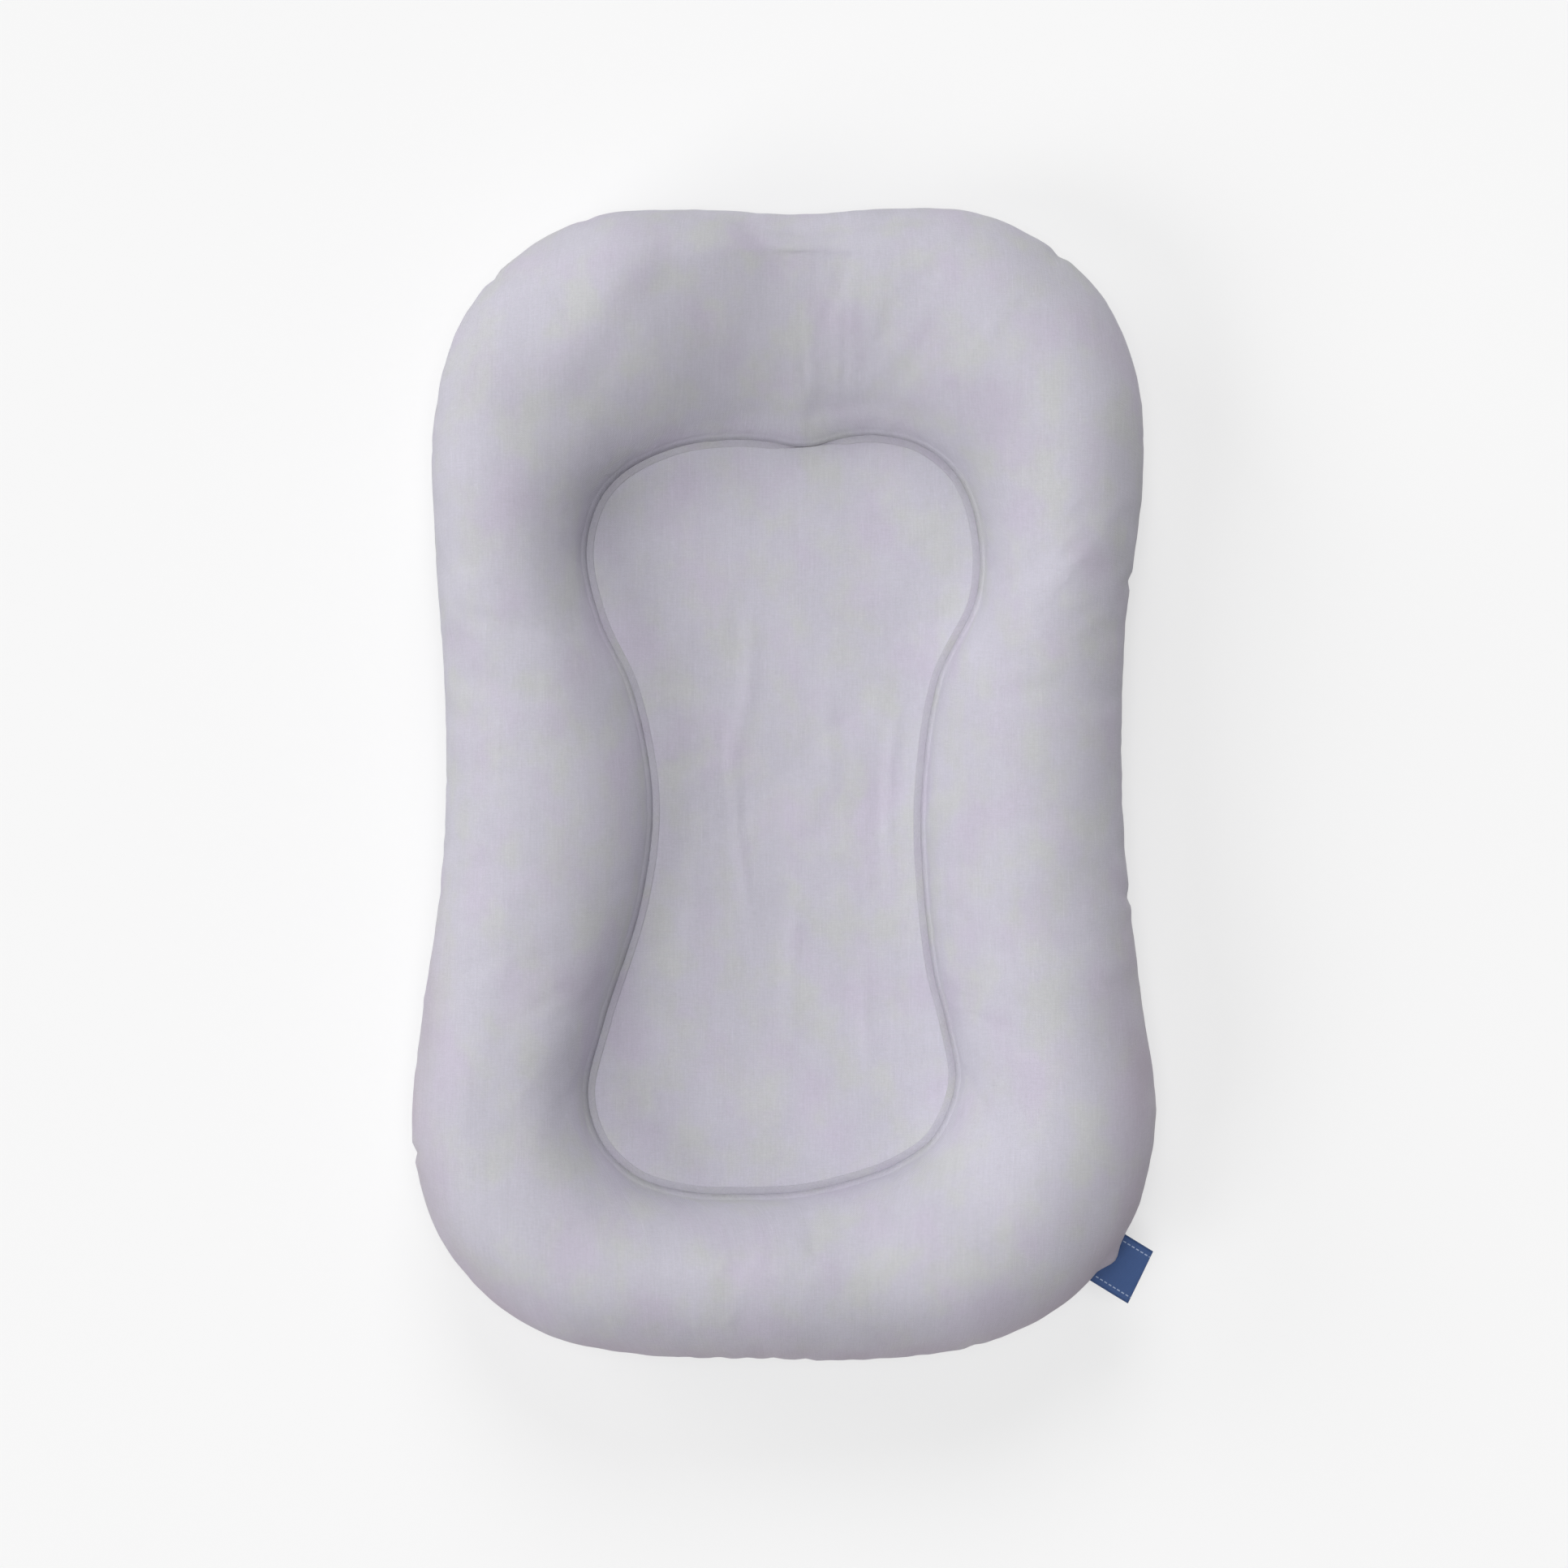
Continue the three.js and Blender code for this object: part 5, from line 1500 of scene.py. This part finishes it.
# %% Tape, nylon, zinc and thread
def woven_tape():
    """Close-woven tape with a rib every millimetre and a smoother edge."""
    material = Material("zip tape weave", Roughness=0.85, Sheen_Weight=0.12)
    place = material.cloth_place()
    u, v, _ = material.axes(place)
    ribs = (u / 0.0011 * TURN).sin()
    threads = (v / 0.0006 * TURN + ribs * 1.2).sin()
    tone = material.noise(place, (0.002, 0.03, 1))
    colour = material.mix(tone, rgb(0.47, 0.455, 0.52), rgb(0.54, 0.525, 0.59))
    colour = material.brighter(colour, 1 + ribs * 0.05 + threads * 0.04)
    return material.done(Base_Color=colour, Normal=material.bump(ribs * 0.5 + threads * 0.4, 0.0002, 0.7))


def nylon():
    """Drawn nylon with faint lengthwise lines."""
    material = Material("zip nylon", Specular_IOR_Level=0.5, Coat_Roughness=0.3)
    place = material.object_place()
    lines = material.noise(place, (0.0002, 0.002, 0.0002))
    tone = material.noise(place, (0.01, 0.02, 0.01))
    colour = material.mix(tone, rgb(0.44, 0.43, 0.49), rgb(0.50, 0.49, 0.55))
    roughness = 0.36 + lines * 0.2
    return material.done(Base_Color=colour, Roughness=roughness, Normal=material.bump(lines, 0.00005, 0.4))


def coated_zinc():
    """Grey-coated zinc: small casting grain, a little rubbed where hands and teeth touch it."""
    material = Material("coated zinc", Coat_Roughness=0.25, Specular_IOR_Level=0.5)
    place = material.object_place()
    grain = material.noise(place, 0.0004, detail=3.0)
    clouds = material.noise(place, 0.004)
    rubbed = material.between(clouds, 0.6, 0.75) * 0.6
    colour = material.mix(clouds, rgb(0.45, 0.44, 0.48), rgb(0.51, 0.50, 0.54))
    colour = material.mix(rubbed, colour, rgb(0.60, 0.59, 0.60))
    roughness = 0.30 + grain * 0.16
    return material.done(
        Base_Color=colour, Roughness=roughness, Metallic=0.55 + rubbed * 0.4, Coat_Weight=0.3 - rubbed * 0.3,
        Normal=material.bump(grain, 0.00004, 0.4),
    )  # fmt: skip


def sewing_thread():
    """Spun polyester thread with the slant of its plies."""
    material = Material("sewing thread", Roughness=0.7, Sheen_Weight=0.25)
    place = material.object_place()
    x, y, z = material.axes(place)
    plies = ((y + x + z) / 0.0005 * TURN).sin()
    tone = material.noise(place, 0.004)
    colour = material.mix(tone, rgb(0.60, 0.585, 0.65), rgb(0.68, 0.665, 0.73))
    return material.done(Base_Color=colour, Normal=material.bump(plies, 0.0001, 0.6))


zip_zinc, zip_nylon, stitch_thread = coated_zinc(), nylon(), sewing_thread()
dress(tapes, woven_tape())

# %% [markdown]
# The stops, the slider and its pull keep the solids' shapes, which already have their true form. They are
# die-cast, and no casting has sharp edges, so a weld joins their loose triangles and a bevel rounds the edges.

# %% Stops, slider and pull
METAL_NODES = ["zip_top_stop_left", "zip_top_stop_right", "zip_bottom_stop", "zip_slider", "zip_pull"]
ROUNDING = 0.00022
for name in METAL_NODES:
    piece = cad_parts[name]
    weld = piece.modifiers.new("weld", "WELD")
    weld.merge_threshold = 1e-6
    bevel = piece.modifiers.new("rounded edges", "BEVEL")
    bevel.width, bevel.segments, bevel.limit_method = ROUNDING, 3, "ANGLE"
    bevel.angle_limit = math.radians(35)
    piece.data.polygons.foreach_set("use_smooth", [False] * len(piece.data.polygons))
dress([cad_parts[name] for name in METAL_NODES], zip_zinc)

# %% [markdown]
# The coil and the stitches repeat one small shape hundreds of times along a line. A tree of geometry nodes
# sets a copy of the shape at each point of the line, with a slight seeded turn, and joins them into one mesh.

# %% Rows of copies
ROW_SOCKETS = [
    ("Shape", "NodeSocketGeometry"), ("Count", "NodeSocketInt"), ("Start", "NodeSocketVector"),
    ("Step", "NodeSocketVector"), ("Turn", "NodeSocketVector"), ("Seed", "NodeSocketInt"),
    ("Material", "NodeSocketMaterial"),
]  # fmt: skip


def row_tree():
    """Geometry nodes that repeat the object's own mesh along a line."""
    tree = bpy.data.node_groups.new("row of copies", "GeometryNodeTree")
    for name, kind in ROW_SOCKETS:
        tree.interface.new_socket(name, in_out="INPUT", socket_type=kind)
    tree.interface.new_socket("Row", in_out="OUTPUT", socket_type="NodeSocketGeometry")
    entry = tree.nodes.new("NodeGroupInput")
    given = {name: Value(tree, entry.outputs[name]) for name, _ in ROW_SOCKETS}
    line = add_node(
        tree, "GeometryNodeMeshLine", {"mode": "OFFSET"},
        {"Count": given["Count"], "Start Location": given["Start"], "Offset": given["Step"]},
    )  # fmt: skip
    least = add_node(tree, "ShaderNodeVectorMath", {"operation": "SCALE"}, {0: given["Turn"], 3: -1.0})
    turn = add_node(
        tree, "FunctionNodeRandomValue", {"data_type": "FLOAT_VECTOR"},
        {0: least, 1: given["Turn"], "Seed": given["Seed"]},
    )  # fmt: skip
    inputs = {"Points": line, "Instance": given["Shape"], "Rotation": turn}
    copies = add_node(tree, "GeometryNodeInstanceOnPoints", {}, inputs)
    joined = add_node(tree, "GeometryNodeRealizeInstances", {}, {0: copies})
    painted = add_node(tree, "GeometryNodeSetMaterial", {}, {0: joined, "Material": given["Material"]})
    connect(tree, tree.nodes.new("NodeGroupOutput").inputs[0], painted)
    return tree


ROW_TREE = row_tree()


def row_of_copies(name, shape, material, nodes=(), slot="zip_tape", **inputs):
    """One mesh of many copies of a small shape, which is given as its points and faces."""
    mesh = bpy.data.meshes.new(name)
    mesh.from_pydata(shape[0], [], shape[1])
    piece = put(name, mesh)
    modifier = piece.modifiers.new("row", "NODES")
    modifier.node_group = ROW_TREE
    keys = {item.name: item.identifier for item in ROW_TREE.interface.items_tree if item.in_out == "INPUT"}
    for key, value in {**inputs, "Material": material}.items():
        modifier[keys[key]] = value
    bpy.context.view_layer.update()
    finished = bpy.data.meshes.new_from_object(piece.evaluated_get(bpy.context.evaluated_depsgraph_get()))
    piece.modifiers.remove(modifier)
    piece.data = finished
    finished.polygons.foreach_set("use_smooth", [True] * len(finished.polygons))
    join_lounger(piece, nodes)
    print(name, inputs["Count"], "copies,", len(finished.polygons), "faces")
    return piece


# %% [markdown]
# Wire and thread are round, so the small shape in both rows is a tube along a short bent path. Six sides are
# enough for a tube half a millimetre thick, and keep a row of hundreds light.


# %% Tubes along a path
def tube_shape(path, radius, sides=6):
    """Points and faces of a round tube along a short path of points, closed at both ends."""
    path = np.array(path, float)
    along = np.gradient(path, axis=0)
    along /= np.linalg.norm(along, axis=1)[:, None]
    points = []
    for spot, way in zip(path, along):
        side = np.cross(way, (0, 1, 0) if abs(way[1]) < 0.9 else (0, 0, 1))
        side /= np.linalg.norm(side)
        up = np.cross(way, side)
        for k in range(sides):
            angle = 2 * math.pi * k / sides
            points.append(spot + radius * (math.cos(angle) * side + math.sin(angle) * up))
    faces = [tuple(face[::-1]) for face in grid_faces(len(path), sides).tolist()]
    ends = [tuple(range(sides)), tuple(range((len(path) - 1) * sides, len(path) * sides))[::-1]]
    mesh = bmesh.new()
    made = [mesh.verts.new(point) for point in points]
    for face in faces + ends:
        mesh.faces.new([made[k] for k in face])
    bmesh.ops.recalc_face_normals(mesh, faces=mesh.faces[:])
    mesh.verts.index_update()
    shape = [tuple(v.co) for v in mesh.verts], [tuple(v.index for v in f.verts) for f in mesh.faces]
    mesh.free()
    return shape


# %% [markdown]
# A coil zip has no single teeth: each row is one nylon wire, wound so that its turns hook into those of the
# other row. A turn goes round the tape's edge as a flat loop, and the rows are half a pitch apart.

# %% Coil of the zip
COIL_PITCH, COIL_WIRE = 0.00150, 0.00036
COIL_ENDS = 0.0014  # what a row is shorter than its solid
for side, name in SIDES:
    low, high = (np.array(corner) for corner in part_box(f"zip_teeth_{name}"))
    inner, outer = sorted((abs(low[0]), abs(high[0])))
    top, base = high[2] - COIL_WIRE, low[2] + COIL_WIRE
    reach = inner + COIL_WIRE
    loop = [
        (outer - COIL_WIRE, -0.0003, top), (reach + 0.0008, -0.0003, top),
        (reach + 0.0002, -0.0002, top - 0.0004), (reach, 0, (top + base) / 2),
        (reach + 0.0002, 0.0002, base + 0.0004), (reach + 0.0008, 0.0003, base),
        (outer - COIL_WIRE, 0.0003, base),
    ]  # fmt: skip
    count = int((high[1] - low[1] - COIL_ENDS) / COIL_PITCH)
    first = (low[1] + high[1] - (count - 1) * COIL_PITCH) / 2 + side * COIL_PITCH / 4
    row_of_copies(
        f"coil_{name}", tube_shape([(side * x, y, z) for x, y, z in loop], COIL_WIRE), zip_nylon,
        nodes=[f"zip_teeth_{name}"], slot="zip_teeth",
        Count=count, Start=(0, first, 0), Step=(0, COIL_PITCH, 0), Turn=(0, 0, 0), Seed=1,
    )  # fmt: skip

# %% [markdown]
# The tapes are sewn in with one row of stitches round the window. A stitch is a short tube that dips into the
# cloth at both ends. Each one turns a little by a seeded number, as on a real machine.

# %% Stitches round the window
STITCH, STITCH_PITCH, THREAD = 0.0023, 0.0030, 0.00024
STITCH_INSET = 0.0022  # from the window to the stitches
STITCH_TURN = (0.01, 0.01, 0.05)
STITCH_BOW = [(-0.5, 0.00018), (-0.42, 0), (-0.2, -0.00006), (0.2, -0.00006), (0.42, 0), (0.5, 0.00018)]
stitch_height = UNDER_RISE - 0.00005
foot, head = WINDOW_FOOT - STITCH_INSET, WINDOW_HEAD + STITCH_INSET
count = int((head - foot) / STITCH_PITCH) + 1
start = (head + foot - (count - 1) * STITCH_PITCH) / 2
lengthwise = tube_shape([(0, share * STITCH, up) for share, up in STITCH_BOW], THREAD)
crosswise = tube_shape([(share * STITCH, 0, up) for share, up in STITCH_BOW], THREAD)
for side, name in SIDES:
    row_of_copies(
        f"stitches_{name}", lengthwise, stitch_thread, Turn=STITCH_TURN, Seed=2, Count=count,
        Start=(side * (WINDOW_HALF + STITCH_INSET), start, stitch_height), Step=(0, STITCH_PITCH, 0),
    )  # fmt: skip
for at, name in ((foot, "foot"), (head, "head")):
    row_of_copies(
        f"stitches_{name}", crosswise, stitch_thread, Turn=STITCH_TURN, Seed=3, Count=5,
        Start=(-2 * STITCH_PITCH, at, stitch_height), Step=(STITCH_PITCH, 0, 0),
    )  # fmt: skip

# %% [markdown]


# %% [markdown]
# The photograph is taken from straight above. A perspective camera with a long lens, as high as the frame asks,
# shows the outline and the bolster's height as it does.

# %% Camera
FRAME_WIDTH = 1.0085  # metres across the picture at the height of the edge seam
SENSOR, LENS = 36, 85
camera = put("camera", bpy.data.cameras.new("camera"))
camera.data.sensor_width, camera.data.lens = SENSOR, LENS
camera.location = (0, 0, EDGE_SEAM_HEIGHT + FRAME_WIDTH * LENS / SENSOR)
bpy.context.scene.camera = camera
print("camera height", round(camera.location.z, 3), "m")

# %% [markdown]
# The lounger lies on a white floor that keeps only a soft shadow. More light would bleach the cloth, so the
# floor shines faintly to the camera alone, and throws plain grey back at the object.

# %% Floor
FLOOR_HALF, FLOOR_DROP = 6, 0.0002
floor_mesh = bpy.data.meshes.new("floor")
floor_corners = [(x * FLOOR_HALF, y * FLOOR_HALF, 0) for x, y in ((-1, -1), (1, -1), (1, 1), (-1, 1))]
floor_mesh.from_pydata(floor_corners, [], [(0, 1, 2, 3)])
floor = put("floor", floor_mesh)
floor.location.z = -FLOOR_DROP


def seen_rays(tree):
    """1 for the rays that show a surface to the camera, also in metal and glass, and 0 for stray light."""
    path = tree.nodes.new("ShaderNodeLightPath")
    kinds = ("Camera", "Glossy", "Transmission")
    straight_on, glossy, through = (Value(tree, path.outputs[f"Is {kind} Ray"]) for kind in kinds)
    return straight_on + glossy + through


def grey(level):
    return rgb(level, level, level)


paint = Material("floor paint", Roughness=0.9, Specular_IOR_Level=0.0, Emission_Strength=1.0)
tone = paint.mix(paint.noise(paint.object_place(), 0.4), grey(0.482), grey(0.492))
shown = seen_rays(paint.tree)
colour = paint.mix(shown, grey(0.6), tone)
floor_mesh.materials.append(
    paint.done(Base_Color=colour, Emission_Color=paint.mix(shown, grey(0), grey(0.475)))
)
print("floor", 2 * FLOOR_HALF, "m wide")

# %% [markdown]
# The sky gives a weak even light, and a brighter white to the eye. Four wide soft lights do the rest: one from
# above and three from the head end and the left, where the photograph's light comes from.

# %% Sky and lights
SKY_LIGHT, LIGHT_WIDTH = 0.13, math.radians(30)
world = bpy.data.worlds.new("studio")
bpy.context.scene.world = world
world.use_nodes = True
sky = world.node_tree
background = sky.nodes["Background"]
background.inputs["Color"].default_value = grey(1)
background.inputs["Strength"].default_value = SKY_LIGHT
seen = sky.nodes.new("ShaderNodeBackground")
seen.inputs["Color"].default_value = grey(0.94)
either = sky.nodes.new("ShaderNodeMixShader")
connect(sky, either.inputs[0], seen_rays(sky))
sky.links.new(background.outputs[0], either.inputs[1])
sky.links.new(seen.outputs[0], either.inputs[2])
sky.links.new(either.outputs[0], sky.nodes["World Output"].inputs["Surface"])


def soft_light(name, azimuth, elevation, strength):
    """A far soft light, given by the direction that it comes from."""
    lamp = bpy.data.lights.new(name, "SUN")
    lamp.energy, lamp.angle = strength, LIGHT_WIDTH
    light = put(name, lamp)
    turn, lift = math.radians(azimuth), math.radians(elevation)
    toward = Vector((math.cos(turn) * math.cos(lift), math.sin(turn) * math.cos(lift), math.sin(lift)))
    light.location = toward * 3
    light.rotation_euler = toward.to_track_quat("Z", "Y").to_euler()
    print(name, "light from", azimuth, "degrees round and", elevation, "up")


soft_light("overhead", 0, 90, 1.17)
soft_light("head end", 90, 35, 1.04)
soft_light("upper left", 150, 20, 0.74)
soft_light("left", 210, 35, 0.92)
bpy.context.scene.view_settings.view_transform = "Standard"
